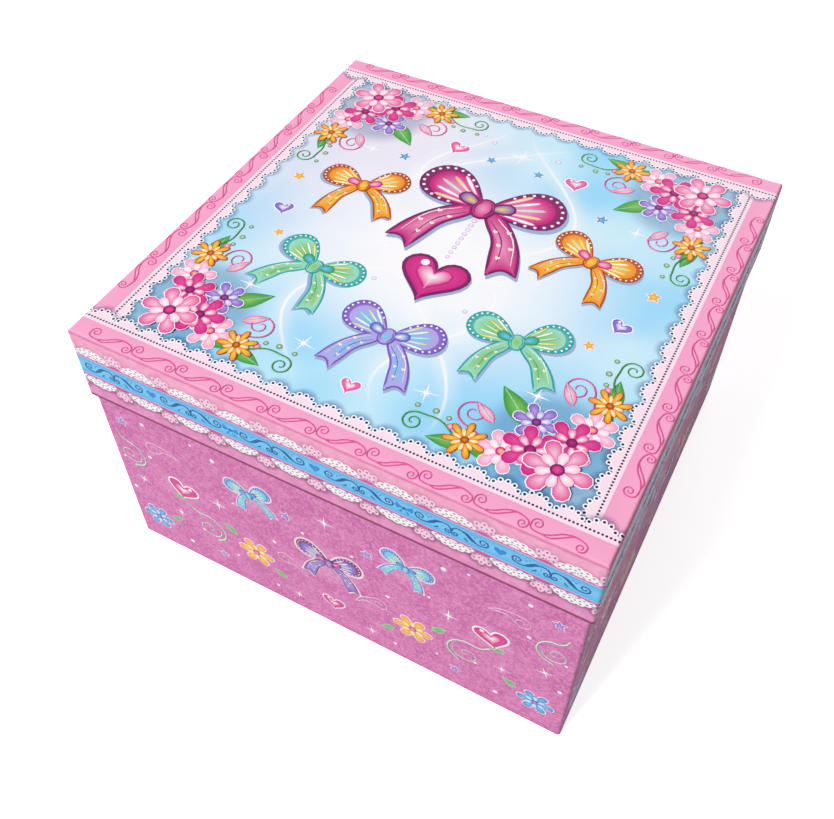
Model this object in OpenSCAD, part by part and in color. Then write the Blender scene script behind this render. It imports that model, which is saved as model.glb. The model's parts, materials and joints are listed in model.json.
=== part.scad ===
// Musical jewellery box: a square paper-covered case with a hinged lid, a lined inside with ring
// rolls and two compartments, and a dancer on a stage, turned by a wind-up musical movement.
// Millimetres. The origin is the centre of the base, +Z is up and the front is at -Y.

/* [Case] */
// Width of the case over its paper
body_w = 150; // [146:1:180]
// Depth of the case over its paper
body_d = 150; // [146:1:180]
// Height of the case up to its rim
body_h = 71; // [69:1:90]
// Thickness of the board walls
board_t = 2.5; // [2.2:0.1:3]
// Thickness of the printed paper
paper_t = 0.4; // [0.3:0.05:0.5]
// Radius of the paper-covered corners
corner_r = 1.0; // [1:0.1:2.4]

/* [Lid] */
// Height of the lid from its lower edge to its top
lid_h = 25.7; // [25:0.1:40]
// How far the lid stands out past the case at the front and sides
lid_over = 1; // [0.6:0.1:1.6]
// Gap between the case and the shut lid
seam_gap = 0.3; // [0.2:0.05:0.5]
// Angle of the open lid
lid_open_angle = 100; // [90:1:105]
// Thickness of the lining on the ceiling of the lid
ceiling_t = 0.8; // [0.5:0.1:1.2]
// Width of the mirror
mirror_w = 104; // [70:1:120]
// Depth of the mirror
mirror_d = 72; // [50:1:100]
// Thickness of the mirror
mirror_t = 1.3; // [1:0.1:2]

/* [Inside] */
// Thickness of the lining collar
collar_t = 1.6; // [1.2:0.1:2]
// Height of the collar above the rim of the case
collar_rise = 8; // [4:0.5:10]
// Gap between the collar and the inside of the lid
collar_gap = 1; // [0.6:0.1:1.4]
// Gap between the end of the collar and the back wall
collar_stop = 6; // [5:0.5:9]
// Thickness of the inner boards
panel_t = 2; // [1.5:0.1:2.5]
// Height of the top of the stage above the floor it stands on
stage_top = 40; // [40:0.5:44]
// Depth of the stage from the back wall
stage_d = 42; // [40:0.5:46]
// Height of the top of the ring shelf
shelf_top = 46; // [42:0.5:50]
// Width of the ring bay
ring_bay_w = 58.5; // [45:0.5:65]
// Number of ring rolls
roll_count = 7; // [5:1:8]
// Height of the bay divider above the ring shelf
divider_rise = 16; // [12:1:20]
// Height of the cross divider
cross_h = 50; // [30:1:60]
// Distance of the cross divider from the stage
cross_y = 50; // [40:1:60]
// Thickness of the floor mat
mat_t = 1; // [0.8:0.1:1.5]
// Gap kept round the soft pieces
soft_gap = 0.3; // [0.2:0.05:0.5]

/* [Hinges] */
// Distance of each hinge from the middle of the box
hinge_x = 42; // [30:1:50]
// Length of a hinge
hinge_w = 18; // [15:1:24]
// Height of a hinge leaf
leaf_h = 7; // [7:0.2:8]
// Thickness of a hinge leaf
leaf_t = 0.8; // [0.6:0.1:0.9]
// Radius of the hinge knuckles
knuckle_r = 1.5; // [1.3:0.05:1.55]
// Radius of the hinge pins
hinge_pin_r = 0.6; // [0.5:0.05:0.7]
// Running clearance round a hinge pin
pin_clear = 0.05; // [0.03:0.01:0.08]
// Radius of the rivets
rivet_r = 0.7; // [0.5:0.05:0.8]

/* [Winding] */
// Height of the winding arbor above the ground
arbor_z = 18; // [17.5:0.1:20]
// Radius of the winding arbor
arbor_r = 2; // [1.6:0.1:2.4]
// Running clearance round the arbors
arbor_clear = 0.05; // [0.03:0.01:0.08]
// Radius of the hole in the key eyelet
eyelet_r = 3.2; // [2.8:0.1:3.6]
// Span of the winding key's wings
key_span = 26; // [20:1:30]
// Thickness of the winding key's wings
key_t = 2; // [1.5:0.1:3]
// Radius of the winding key's hub
key_hub_r = 3.2; // [3:0.1:3.6]

/* [Movement] */
// Gap between the movement and the collar at its left
movement_gap = 4.5; // [4:0.1:6]
// Thickness of the bedplate
bed_t = 2; // [1.5:0.1:2.4]
// Module of the crown teeth
crown_m = 0.8; // [0.8:0.01:0.82]
// Number of crown teeth on the spring barrel
crown_n = 32; // [32:4:32]
// Number of teeth on the two pinions that the crown drives
crown_pinion_n = 10; // [10:1:10]
// Width of the crown teeth
crown_w = 3.2; // [2.8:0.1:3.4]
// Length of the spring barrel
barrel_l = 11; // [9:0.5:11.5]
// Wall of the spring barrel
barrel_wall = 1.2; // [1:0.1:1.5]
// Gap between the spring barrel and the bedplate
barrel_gap = 1.1; // [0.8:0.1:1.5]
// Thickness of the coiled mainspring
mainspring_t = 0.5; // [0.3:0.05:0.6]
// Number of turns of the mainspring
mainspring_turns = 4; // [3:1:5]
// Radius of the pinned cylinder
cylinder_r = 6; // [5.5:0.1:6.2]
// Length of the pinned cylinder
cylinder_l = 30; // [26:1:30]
// Height of the cylinder's pins
pin_h = 0.7; // [0.5:0.05:0.8]
// Number of teeth on the comb
comb_n = 18; // [12:1:18]
// Thickness of the comb
comb_t = 1; // [0.8:0.1:1.2]
// Gap between the comb's tips and the cylinder's pins
comb_gap = 0.3; // [0.2:0.05:0.4]
// Height of the comb from its tips to its heel's edge
comb_h = 11; // [10:0.5:12]
// Length of the comb's screws
comb_screw_l = 4; // [3:0.5:5]
// Module of the governor's gears
fine_m = 0.5; // [0.5:0.01:0.51]
// Number of teeth on the governor drive wheel
drive_n = 30; // [28:2:30]
// Number of teeth on the second arbor's pinion
second_n = 10; // [10:1:10]
// Number of teeth on the worm wheel
worm_wheel_n = 20; // [20:1:20]
// Radius of the fly
fly_r = 6; // [5:0.1:6]
// Height of the fly's blades
blade_h = 6; // [4:0.5:6]

/* [Dancer] */
// Radius of the dancer's spindle
spindle_r = 1.5; // [1.2:0.1:1.8]
// Radius of the dancer's stand
stand_r = 6; // [5:0.5:8]
// Height of the spring under the dancer
spring_h = 6; // [5:0.5:6.5]
// Radius of the spring under the dancer
spring_r = 2; // [1.8:0.1:2.6]
// Height of the dancer from toe to fingertips
dancer_h = 41; // [34:0.5:41]
// Radius of the dancer's tutu
tutu_r = 11.5; // [9:0.5:12]

/* [Hidden] */
$fn = 64;
eps = 0.01;
inner_x = body_w / 2 - paper_t - board_t;
inner_y = body_d / 2 - paper_t - board_t;
floor_top = paper_t + board_t;
rim_z = body_h - paper_t;
collar_x = inner_x - collar_t;
collar_front = -inner_y + collar_t;
collar_back = inner_y - collar_stop;
collar_top = body_h + collar_rise;

lid_z = body_h + seam_gap;
lid_top = lid_z + lid_h;
lid_side = body_w / 2 + lid_over;
lid_front = -body_d / 2 - lid_over;
lid_back = body_d / 2;
lid_mid_y = (lid_front + lid_back) / 2;
lid_depth = lid_back - lid_front;
lid_in_x = inner_x + collar_gap;
lid_in_front = -inner_y - collar_gap;
lid_in_back = lid_back - paper_t - board_t;
ceiling_z = lid_top - paper_t - board_t;
skirt_t = lid_side - paper_t - lid_in_x;

stage_front = inner_y - stage_d;
stage_under = stage_top - panel_t;
bay_x = -collar_x + ring_bay_w;
bay_front = collar_front;
divider_top = shelf_top + divider_rise;
roll_pitch = (stage_front - bay_front - soft_gap) / roll_count;
roll_r = (roll_pitch - soft_gap) / 2;
cross_at = stage_front - cross_y;

hinge_y = body_d / 2 + knuckle_r + 0.1;
hinge_z = body_h + seam_gap / 2;
leaf_gap = 0.3;
leaf_start = knuckle_r + leaf_gap;
rivet_z = leaf_start + leaf_h / 2;
rivet_x = hinge_w * 0.28;
rivet_head_r = 1.4;
rivet_head_t = 0.4;
stop_l = 3;
stop_t = 0.6;
stop_gap = 0.1;

key_start = body_d / 2 + 1.4;
eyelet_wall = 0.6;
eyelet_flange = 2.4;
key_l = 17;
hub_l = 7;

bed_y = inner_y - bed_t;
barrel_back = bed_y - barrel_gap;
barrel_face = barrel_back - barrel_l;
crown_r = crown_m * crown_n / 2;
crown_out = crown_r + crown_w / 2;
crown_deep = crown_m * 1.25;
crown_tip = crown_m;
pitch_y = barrel_face - crown_deep;
crown_pinion_r = crown_m * crown_pinion_n / 2;
mesh_gap = 0.1;
train_y = pitch_y - crown_pinion_r - mesh_gap;
pinion_w = crown_w - 0.8;
pinion_in = crown_r - pinion_w / 2;

cyl_arbor_r = 1;
boss_r = 4;
lug_x = -crown_out - boss_r;
lug_t = 2.4;
cyl_right = lug_x - lug_t / 2 - 1;
cyl_left = cyl_right - cylinder_l;
drive_x = cyl_left - 3;
fine_w = 2;
drive_r = fine_m * drive_n / 2;
second_r = fine_m * second_n / 2;
fine_gap = 0.08;
second_y = train_y + drive_r + second_r + fine_gap;
second_arbor_r = 0.8;
frame_t = 1.6;
frame_in = drive_x - fine_w / 2 - 1.2 - frame_t / 2;
worm_x = frame_in - frame_t / 2 - 2.4;
frame_out = worm_x - 2.4 - frame_t / 2;
worm_wheel_r = fine_m * worm_wheel_n / 2;
worm_pitch_r = 1.5;
worm_y = second_y - worm_wheel_r - worm_pitch_r;
worm_core_r = 1.3;
worm_throw = 0.45;
worm_lead = PI * fine_m;
worm_turns = 4;
worm_l = worm_lead * worm_turns;
worm_shaft_r = 0.7;
frame_half = 3;
frame_hole_r = 1.3;
frame_drop = 8.6;
frame_rise = 7.4;
frame_low = arbor_z - frame_drop;
frame_high = arbor_z + frame_rise;
frame_bar_t = 1.4;
brake_z = frame_high + frame_bar_t / 2 + 0.6;
brake_h = 0.8;
brake_r = 3;
blade_z = brake_z + brake_h + 0.4;
blade_t = 0.4;
comb_low = arbor_z + cylinder_r + pin_h + comb_gap;
comb_high = comb_low + comb_h;
comb_heel = 4.6;
comb_tooth_share = 0.7;
comb_step = 2.2;
rail_low = comb_high - comb_heel;
comb_screw_r = 0.9;
fix_r = 1.2;
fix_clear = 0.1;
fix_head_r = 2.6;
fix_head_t = 1.3;
washer_r = 3.4;
washer_t = 0.5;
driver_slot = 0.7;
slot_deep = 0.7;
fix_up = 15;
fix_down = 11;
fix_in = 1;
bed_edge = 3;

lever_x = frame_out - frame_t / 2 - 0.9;
lever_t = 0.8;
washer_gap = 0.3;
lever_back = 6.1;
lever_up = 4;
lever_y = inner_y - lever_back;
lever_z = arbor_z + lever_up;
lever_pin_r = 0.8;
lever_hub_r = 1.8;
lever_room = 1.3;
lever_wire_r = 0.5;
lever_tip_rise = 4;
lever_tip_z = body_h + lever_tip_rise;
lever_tip_gap = 0.3;
lever_pin_head_t = 0.6;
lever_pin_head_r = 1.4;
brake_gap = 0.15;
lever_end = lever_x - lever_t / 2 - washer_gap - lever_pin_head_t;
spindle_x = -collar_x + movement_gap - lever_end;

spindle_low = arbor_z + pinion_in - 3.4;
spindle_room = 1;
bush_top = stage_top + 1;
stand_t = 1.5;
spring_z = bush_top + stand_t;
toe_z = spring_z + spring_h;
wire_r = 0.3;
bracket_t = 1.5;
bracket_x = 7;
bracket_w = 5;
bracket_bar_z = spindle_low + 0.6;

// ---------------------------------------------------------------- shared shapes

// a rectangle with round corners, centred
module rounded_rect(w, d, r) {
    square([w - 2 * r, d], center = true);
    square([w, d - 2 * r], center = true);
    for (sx = [-1, 1], sy = [-1, 1])
        translate([sx * (w / 2 - r), sy * (d / 2 - r)])
            circle(r);
}

// a profile that stands on the x axis, with its two upper corners rounded
module top_rounded(w, h, r) {
    translate([-w / 2, 0])
        square([w, h - r]);
    translate([-w / 2 + r, 0])
        square([w - 2 * r, h]);
    for (s = [-1, 1])
        translate([s * (w / 2 - r), h - r])
            circle(r);
}

// a block with soft upright corners and a soft top edge
module soft_block(w, d, h, r) {
    intersection() {
        linear_extrude(h)
            rounded_rect(w, d, r);
        rotate([90, 0, 0])
            linear_extrude(d + 2, center = true)
                top_rounded(w, h, r);
        rotate([90, 0, 90])
            linear_extrude(w + 2, center = true)
                top_rounded(d, h, r);
    }
}

// a block between two corners
module slab(low, high) {
    translate(low)
        cube(high - low);
}

// a rod along x, y or z
module rod_x(x0, x1, r) {
    translate([x0, 0, 0])
        rotate([0, 90, 0])
            cylinder(h = x1 - x0, r = r);
}
module rod_y(y0, y1, r) {
    translate([0, y1, 0])
        rotate([90, 0, 0])
            cylinder(h = y1 - y0, r = r);
}

// places its children on both hinges
module at_hinges() {
    for (s = [-1, 1])
        translate([s * hinge_x, hinge_y, hinge_z])
            children();
}

// the rivets' places on one hinge, on the case when side is -1 and on the lid when it is 1
module at_rivets(side) {
    at_hinges()
        for (s = [-1, 1])
            translate([s * rivet_x, -hinge_y, side * rivet_z])
                children();
}

// places the movement, whose own x starts at the spindle, against the left end of the case
module at_movement() {
    translate([spindle_x, 0, 0])
        children();
}

// the screws' places in the back wall and the bedplate
module at_fixings() {
    for (p = [[worm_x, fix_up], [worm_x, -fix_down], [crown_out - fix_in, fix_up]])
        translate([p[0], 0, arbor_z + p[1]])
            children();
}

// points of one gear tooth, as [angle, radius] pairs
function tooth(n, m, slack, deep, tall) =
    let (r = n * m / 2, half = (PI * m / 2 - slack) / 2)
    [[-1.55 * half, r - deep], [-half, r], [-0.42 * half, r + tall],
     [0.42 * half, r + tall], [half, r], [1.55 * half, r - deep]];

// outline of a spur gear with its first tooth on the x axis
module gear_outline(n, m, slack, deep, tall) {
    r = n * m / 2;
    polygon([for (i = [0:n - 1], p = tooth(n, m, slack, deep, tall))
        let (a = 360 * i / n + p[0] / r * 180 / PI)
        [p[1] * cos(a), p[1] * sin(a)]]);
}

// ---------------------------------------------------------------- case

module base_cover() {
    color("thistle")
        linear_extrude(paper_t)
            rounded_rect(body_w - 2 * paper_t, body_d - 2 * paper_t, corner_r - paper_t);
}

module floor_board() {
    color("tan")
        slab([-inner_x, -inner_y, paper_t], [inner_x, inner_y, floor_top]);
}

// outline of the front wall or, mirrored, of the back wall
module end_wall_outline() {
    intersection() {
        rounded_rect(body_w - 2 * paper_t, body_d - 2 * paper_t, corner_r - paper_t);
        translate([-body_w / 2, -body_d / 2])
            square([body_w, board_t + paper_t]);
    }
}

module front_board() {
    color("tan")
        translate([0, 0, paper_t])
            linear_extrude(rim_z - paper_t)
                end_wall_outline();
}

module back_board() {
    color("tan")
        difference() {
            translate([0, 0, paper_t])
                linear_extrude(rim_z - paper_t)
                    mirror([0, 1])
                        end_wall_outline();
            back_holes();
        }
}

// what passes through the back wall
module back_holes() {
    at_movement() {
        translate([0, 0, arbor_z])
            rod_y(inner_y - 1, body_d / 2 + 1, eyelet_r + eyelet_wall);
        at_fixings()
            rod_y(inner_y - 1, body_d / 2 + 1, fix_r + fix_clear);
    }
    at_rivets(-1)
        rod_y(body_d / 2 - 2.2, body_d / 2 + 1, rivet_r);
}

module side_board(side) {
    x = side * (inner_x + board_t / 2);
    translate([x - board_t / 2, -inner_y, paper_t])
        cube([board_t, 2 * inner_y, rim_z - paper_t]);
}

module left_board() {
    color("tan")
        side_board(-1);
}

module right_board() {
    color("tan")
        side_board(1);
}

module case_wrap() {
    lap = board_t + paper_t;
    color("orchid")
        difference() {
            union() {
                translate([0, 0, paper_t / 2])
                    linear_extrude(rim_z - paper_t / 2)
                        difference() {
                            rounded_rect(body_w, body_d, corner_r);
                            rounded_rect(body_w - 2 * paper_t, body_d - 2 * paper_t, corner_r - paper_t);
                        }
                translate([0, 0, rim_z])
                    linear_extrude(paper_t)
                        difference() {
                            rounded_rect(body_w, body_d, corner_r);
                            square([body_w - 2 * lap, body_d - 2 * lap], center = true);
                        }
            }
            back_holes();
        }
}

module lining_collar() {
    color("pink")
        translate([0, 0, floor_top])
            linear_extrude(collar_top - floor_top)
                difference() {
                    translate([-inner_x, -inner_y])
                        square([2 * inner_x, collar_back + inner_y]);
                    translate([-collar_x, collar_front])
                        square([2 * collar_x, 2 * inner_y]);
                }
}

module stage_riser() {
    color("pink")
        slab([-collar_x, stage_front, floor_top], [collar_x, stage_front + panel_t, stage_under]);
}

module stage_deck() {
    color("hotpink")
        difference() {
            union() {
                slab([-collar_x, stage_front, stage_under], [collar_x, collar_back, stage_top]);
                slab([-inner_x, collar_back, stage_under], [inner_x, inner_y, stage_top]);
            }
            at_movement() {
                translate([0, train_y, stage_under - 1])
                    cylinder(h = panel_t + 2, r = spindle_r + spindle_room);
                slab([lever_x - lever_room, lever_y - lever_room, stage_under - 1],
                     [lever_x + lever_room, lever_y + 2 * lever_room, stage_top + 1]);
            }
        }
}

module bay_divider() {
    color("pink")
        slab([bay_x, bay_front, floor_top], [bay_x + panel_t, stage_front, divider_top]);
}

module cross_divider() {
    color("pink")
        slab([bay_x + panel_t, cross_at - panel_t, floor_top], [collar_x, cross_at, cross_h]);
}

module ring_shelf() {
    color("pink")
        slab([-collar_x, bay_front, shelf_top - panel_t], [bay_x, stage_front, shelf_top]);
}

module ring_rolls() {
    color("deeppink")
        for (i = [0:roll_count - 1])
            translate([0, bay_front + soft_gap + roll_r + i * roll_pitch, shelf_top + soft_gap + roll_r])
                rod_x(-collar_x + soft_gap, bay_x - soft_gap, roll_r);
}

module floor_mat() {
    x0 = bay_x + panel_t + soft_gap;
    x1 = collar_x - soft_gap;
    top = floor_top + soft_gap + mat_t;
    color("deeppink") {
        slab([x0, bay_front + soft_gap, floor_top + soft_gap], [x1, cross_at - panel_t - soft_gap, top]);
        slab([x0, cross_at + soft_gap, floor_top + soft_gap], [x1, stage_front - soft_gap, top]);
    }
}

// ---------------------------------------------------------------- lid

// the lid's form inside its paper
module lid_core() {
    translate([0, lid_mid_y, lid_z])
        soft_block(2 * (lid_side - paper_t), lid_depth - 2 * paper_t, lid_h - paper_t, corner_r - paper_t);
}

module lid_top_board() {
    color("tan")
        intersection() {
            lid_core();
            slab([-lid_side, lid_front, ceiling_z], [lid_side, lid_back, lid_top]);
        }
}

module lid_front_board() {
    color("tan")
        intersection() {
            lid_core();
            slab([-lid_side, lid_front, lid_z + paper_t], [lid_side, lid_in_front, ceiling_z]);
        }
}

module lid_back_board() {
    color("tan")
        difference() {
            intersection() {
                lid_core();
                slab([-lid_side, lid_in_back, lid_z + paper_t], [lid_side, lid_back, ceiling_z]);
            }
            lid_holes();
        }
}

module lid_holes() {
    at_rivets(1)
        rod_y(body_d / 2 - 2.2, body_d / 2 + 1, rivet_r);
}

module lid_side_board(side) {
    x = side * (lid_in_x + skirt_t / 2);
    slab([x - skirt_t / 2, lid_in_front, lid_z + paper_t], [x + skirt_t / 2, lid_in_back, ceiling_z]);
}

module lid_left_board() {
    color("tan")
        lid_side_board(-1);
}

module lid_right_board() {
    color("tan")
        lid_side_board(1);
}

module lid_wrap() {
    color("lightblue")
        difference() {
            translate([0, lid_mid_y, lid_z])
                soft_block(2 * lid_side, lid_depth, lid_h, corner_r);
            intersection() {
                lid_core();
                slab([-lid_side, lid_front, lid_z + paper_t], [lid_side, lid_back, lid_top]);
            }
            slab([-lid_in_x, lid_in_front, lid_z - 1], [lid_in_x, lid_in_back, lid_z + 1]);
            lid_holes();
        }
}

module lid_ceiling_lining() {
    gap = 0.2;
    color("pink")
        difference() {
            slab([-lid_in_x, lid_in_front, ceiling_z - ceiling_t], [lid_in_x, lid_in_back, ceiling_z]);
            translate([-mirror_w / 2 - gap, lid_mid_y - mirror_d / 2 - gap, ceiling_z - ceiling_t - 1])
                cube([mirror_w + 2 * gap, mirror_d + 2 * gap, ceiling_t + 2]);
        }
}

module lid_mirror() {
    color("lightsteelblue")
        slab([-mirror_w / 2, lid_mid_y - mirror_d / 2, ceiling_z - mirror_t],
             [mirror_w / 2, lid_mid_y + mirror_d / 2, ceiling_z]);
}

// ---------------------------------------------------------------- hinges

// one hinge leaf with its knuckles, hanging down from the pin; segments are [start, end] along x
module hinge_leaf(segments) {
    y0 = body_d / 2 - hinge_y;
    difference() {
        union() {
            slab([-hinge_w / 2, y0, -leaf_start - leaf_h], [hinge_w / 2, y0 + leaf_t, -leaf_start]);
            for (s = segments) {
                rod_x(s[0], s[1], knuckle_r);
                slab([s[0], y0, -leaf_start - eps], [s[1], y0 + leaf_t, 0]);
            }
        }
        rod_x(-hinge_w, hinge_w, hinge_pin_r + pin_clear);
        for (s = [-1, 1])
            translate([s * rivet_x, 0, -rivet_z])
                rod_y(y0 - 1, y0 + leaf_t + 1, rivet_r);
    }
}

module hinge_case_leaves() {
    third = hinge_w / 3;
    color("goldenrod")
        at_hinges()
            hinge_leaf([[-hinge_w / 2, -third / 2 - 0.15], [third / 2 + 0.15, hinge_w / 2]]);
}

// the lid's leaf has a tab that meets the case's leaf when the lid is open
module hinge_lid_leaves() {
    third = hinge_w / 3;
    stop_y = body_d / 2 - hinge_y + leaf_t + stop_gap;
    color("goldenrod")
        at_hinges() {
            mirror([0, 0, 1])
                hinge_leaf([[-third / 2 + 0.15, third / 2 - 0.15]]);
            rotate([lid_open_angle, 0, 0])
                slab([-third / 2 + 0.15, stop_y, -stop_l],
                     [third / 2 - 0.15, stop_y + stop_t, -hinge_pin_r - 0.4]);
        }
}

module hinge_pins() {
    color("darkgoldenrod")
        at_hinges() {
            rod_x(-hinge_w / 2 - 0.5, hinge_w / 2 + 0.5, hinge_pin_r);
            for (s = [-1, 1])
                rod_x(s * (hinge_w / 2 + 0.5) - 0.4, s * (hinge_w / 2 + 0.5) + 0.4, hinge_pin_r + 0.3);
        }
}

module rivet() {
    rod_y(body_d / 2 - 2.2, body_d / 2 + leaf_t, rivet_r);
    rod_y(body_d / 2 + leaf_t, body_d / 2 + leaf_t + rivet_head_t, rivet_head_r);
}

module case_rivets() {
    color("gold")
        at_rivets(-1)
            rivet();
}

module lid_rivets() {
    color("gold")
        at_rivets(1)
            rivet();
}

// ---------------------------------------------------------------- winding

module key_eyelet() {
    color("goldenrod")
        translate([0, 0, arbor_z])
            difference() {
                union() {
                    rod_y(inner_y, body_d / 2, eyelet_r + eyelet_wall);
                    rod_y(body_d / 2, body_d / 2 + eyelet_wall, eyelet_r + eyelet_flange);
                }
                rod_y(inner_y - 1, body_d / 2 + 1, eyelet_r);
            }
}

module winding_arbor() {
    color("silver")
        translate([0, 0, arbor_z]) {
            rod_y(barrel_face - 1, key_start + hub_l - 1, arbor_r);
            rod_y(bed_y - barrel_gap + 0.3, bed_y - 0.2, arbor_r + 1);
        }
}

// outline of the key's two wings, in the plane of x and y, with the hub's end at the origin
module key_outline() {
    wing_r = (key_l - hub_l) * 0.52;
    difference() {
        union() {
            for (s = [-1, 1])
                translate([s * (key_span / 2 - wing_r), wing_r])
                    circle(wing_r);
            translate([-(key_span / 2 - wing_r), 0])
                square([key_span - 2 * wing_r, wing_r * 1.3]);
            translate([-key_hub_r, -hub_l])
                square([2 * key_hub_r, hub_l + 1]);
        }
        for (s = [-1, 1])
            translate([s * (key_span / 2 - wing_r), wing_r])
                circle(wing_r * 0.45);
    }
}

module winding_key() {
    color("goldenrod")
        translate([0, 0, arbor_z])
            difference() {
                union() {
                    rod_y(key_start, key_start + hub_l, key_hub_r);
                    translate([0, key_start + hub_l, 0])
                        linear_extrude(key_t, center = true)
                            key_outline();
                }
                rod_y(key_start - 1, key_start + hub_l - 1, arbor_r);
            }
}

// ---------------------------------------------------------------- spring barrel

// one crown tooth, standing on the barrel's face at the right of the axis
module crown_tooth() {
    half = (PI * crown_m / 2 - 0.25) / 2;
    translate([crown_r - crown_w / 2, 0, 0])
        rotate([90, 0, 90])
            linear_extrude(crown_w)
                polygon([[-1.3 * half, -eps], [-half, crown_deep], [-0.5 * half, crown_deep + crown_tip],
                    [0.5 * half, crown_deep + crown_tip], [half, crown_deep], [1.3 * half, -eps]]);
}

module spring_barrel() {
    color("goldenrod")
        translate([0, barrel_face, arbor_z])
            rotate([90, 0, 0])
                difference() {
                    union() {
                        translate([0, 0, -barrel_l])
                            cylinder(h = barrel_l, r = crown_out);
                        for (i = [0:crown_n - 1])
                            rotate([0, 0, 360 * i / crown_n])
                                crown_tooth();
                        cylinder(h = 0.5, r = arbor_r + 2);
                    }
                    translate([0, 0, -barrel_l - 1])
                        cylinder(h = barrel_l + 1 - barrel_wall, r = crown_out - barrel_wall);
                    translate([0, 0, -barrel_l - 1])
                        cylinder(h = barrel_l + 3, r = arbor_r + arbor_clear);
                }
}

module barrel_cap() {
    color("darkgoldenrod")
        translate([0, 0, arbor_z])
            difference() {
                rod_y(barrel_back - barrel_wall, barrel_back, crown_out - barrel_wall);
                rod_y(barrel_back - barrel_wall - 1, barrel_back + 1, arbor_r + arbor_clear);
                for (a = [0:60:300])
                    rotate([0, a, 0])
                        translate([crown_out * 0.55, 0, 0])
                            rod_y(barrel_back - barrel_wall - 1, barrel_back + 1, 1.4);
            }
}

// spiral of the mainspring as [x, y] at an angle, at one face of the strip
function spiral(a, off) =
    let (r = arbor_r + 1 + (crown_out - barrel_wall - arbor_r - 2.2) * a / (360 * mainspring_turns) + off)
    [r * cos(a), r * sin(a)];

module mainspring() {
    steps = 20 * mainspring_turns;
    turn = 360 * mainspring_turns / steps;
    color("slategray")
        translate([0, barrel_back - barrel_wall - soft_gap, arbor_z])
            rotate([90, 0, 0])
                linear_extrude(barrel_l - 2 * barrel_wall - 2 * soft_gap)
                    polygon(concat(
                        [for (i = [0:steps]) spiral(i * turn, mainspring_t / 2)],
                        [for (i = [steps:-1:0]) spiral(i * turn, -mainspring_t / 2)]));
}

// ---------------------------------------------------------------- bedplate, cylinder and comb

module bedplate() {
    color("silver")
        difference() {
            union() {
                slab([frame_out - bed_edge, bed_y, floor_top],
                     [crown_out + bed_edge - fix_in, inner_y, arbor_z + fix_up + bed_edge]);
                slab([cyl_left, train_y + comb_t / 2, rail_low], [cyl_right, bed_y + eps, comb_high]);
                slab([lug_x - lug_t / 2, train_y, arbor_z - boss_r],
                     [lug_x + lug_t / 2, bed_y + eps, arbor_z + boss_r]);
                translate([0, train_y, arbor_z])
                    rod_x(lug_x - lug_t / 2, lug_x + lug_t / 2, boss_r);
            }
            translate([0, 0, arbor_z])
                rod_y(bed_y - 1, inner_y + 1, arbor_r + arbor_clear);
            translate([0, train_y, arbor_z])
                rod_x(lug_x - lug_t, lug_x + lug_t, cyl_arbor_r + arbor_clear);
            at_fixings()
                rod_y(bed_y - 1, inner_y + 1, fix_r);
            at_comb_screws()
                rod_y(train_y, train_y - comb_t / 2 + comb_screw_l, comb_screw_r);
        }
}

module fixing_screws() {
    head_y = body_d / 2 + washer_t + fix_head_t;
    color("silver")
        at_fixings()
            difference() {
                union() {
                    rod_y(bed_y, body_d / 2 + washer_t, fix_r);
                    rod_y(body_d / 2, body_d / 2 + washer_t, washer_r);
                    rod_y(body_d / 2 + washer_t, head_y, fix_head_r);
                }
                slab([-fix_head_r, head_y - slot_deep, -driver_slot / 2],
                     [fix_head_r, head_y + 1, driver_slot / 2]);
            }
}

module at_comb_screws() {
    for (s = [-1, 1])
        translate([(cyl_left + cyl_right) / 2 + s * cylinder_l * 0.3, 0, comb_high - comb_heel / 2])
            children();
}

module music_comb() {
    pitch = cylinder_l / comb_n;
    slot = pitch * (1 - comb_tooth_share);
    color("lightsteelblue")
        difference() {
            slab([cyl_left, train_y - comb_t / 2, comb_low], [cyl_right, train_y + comb_t / 2, comb_high]);
            for (i = [1:comb_n - 1])
                translate([cyl_left + i * pitch, 0, 0])
                    slab([-slot / 2, train_y - comb_t, comb_low - 1],
                         [slot / 2, train_y + comb_t, rail_low - comb_step * (1 - i / comb_n)]);
            at_comb_screws()
                rod_y(train_y - 1, train_y + 1, comb_screw_r);
        }
}

module comb_screws() {
    y0 = train_y - comb_t / 2;
    color("silver")
        at_comb_screws()
            difference() {
                union() {
                    rod_y(y0, y0 + comb_screw_l, comb_screw_r);
                    rod_y(y0 - comb_screw_r, y0, 2 * comb_screw_r);
                }
                slab([-3 * comb_screw_r, y0 - 2 * comb_screw_r, -comb_screw_r / 4],
                     [3 * comb_screw_r, y0 - comb_screw_r / 2, comb_screw_r / 4]);
            }
}

module pinned_cylinder() {
    pitch = cylinder_l / comb_n;
    color("gold")
        translate([0, train_y, arbor_z])
            difference() {
                union() {
                    rod_x(cyl_left, cyl_right, cylinder_r);
                    for (i = [0:comb_n - 1], k = [0:3])
                        translate([cyl_left + (i + 0.5) * pitch, 0, 0])
                            rotate([90 * k + 137 * i + 23 * k * (i % 3), 0, 0])
                                translate([0, 0, cylinder_r - 0.5])
                                    cylinder(h = pin_h + 0.5, r = 0.25, $fn = 6);
                }
                rod_x(cyl_left - 1, cyl_right + 1, cyl_arbor_r);
            }
}

module cylinder_arbor() {
    color("silver")
        translate([0, train_y, arbor_z])
            rod_x(frame_in - frame_t / 2, -pinion_in + 1, cyl_arbor_r);
}

// the crown's pinion, its gap facing the crown, with its axis on z between two heights
module crown_pinion(bore_r) {
    translate([0, 0, pinion_in])
        difference() {
            linear_extrude(pinion_w)
                rotate(90 + 180 / crown_pinion_n)
                    gear_outline(crown_pinion_n, crown_m, 0.3, crown_m * 1.15, crown_m);
            translate([0, 0, -1])
                cylinder(h = pinion_w + 2, r = bore_r);
        }
}

module cylinder_pinion() {
    color("gold")
        translate([0, train_y, arbor_z])
            rotate([0, -90, 0])
                crown_pinion(cyl_arbor_r);
}

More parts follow.
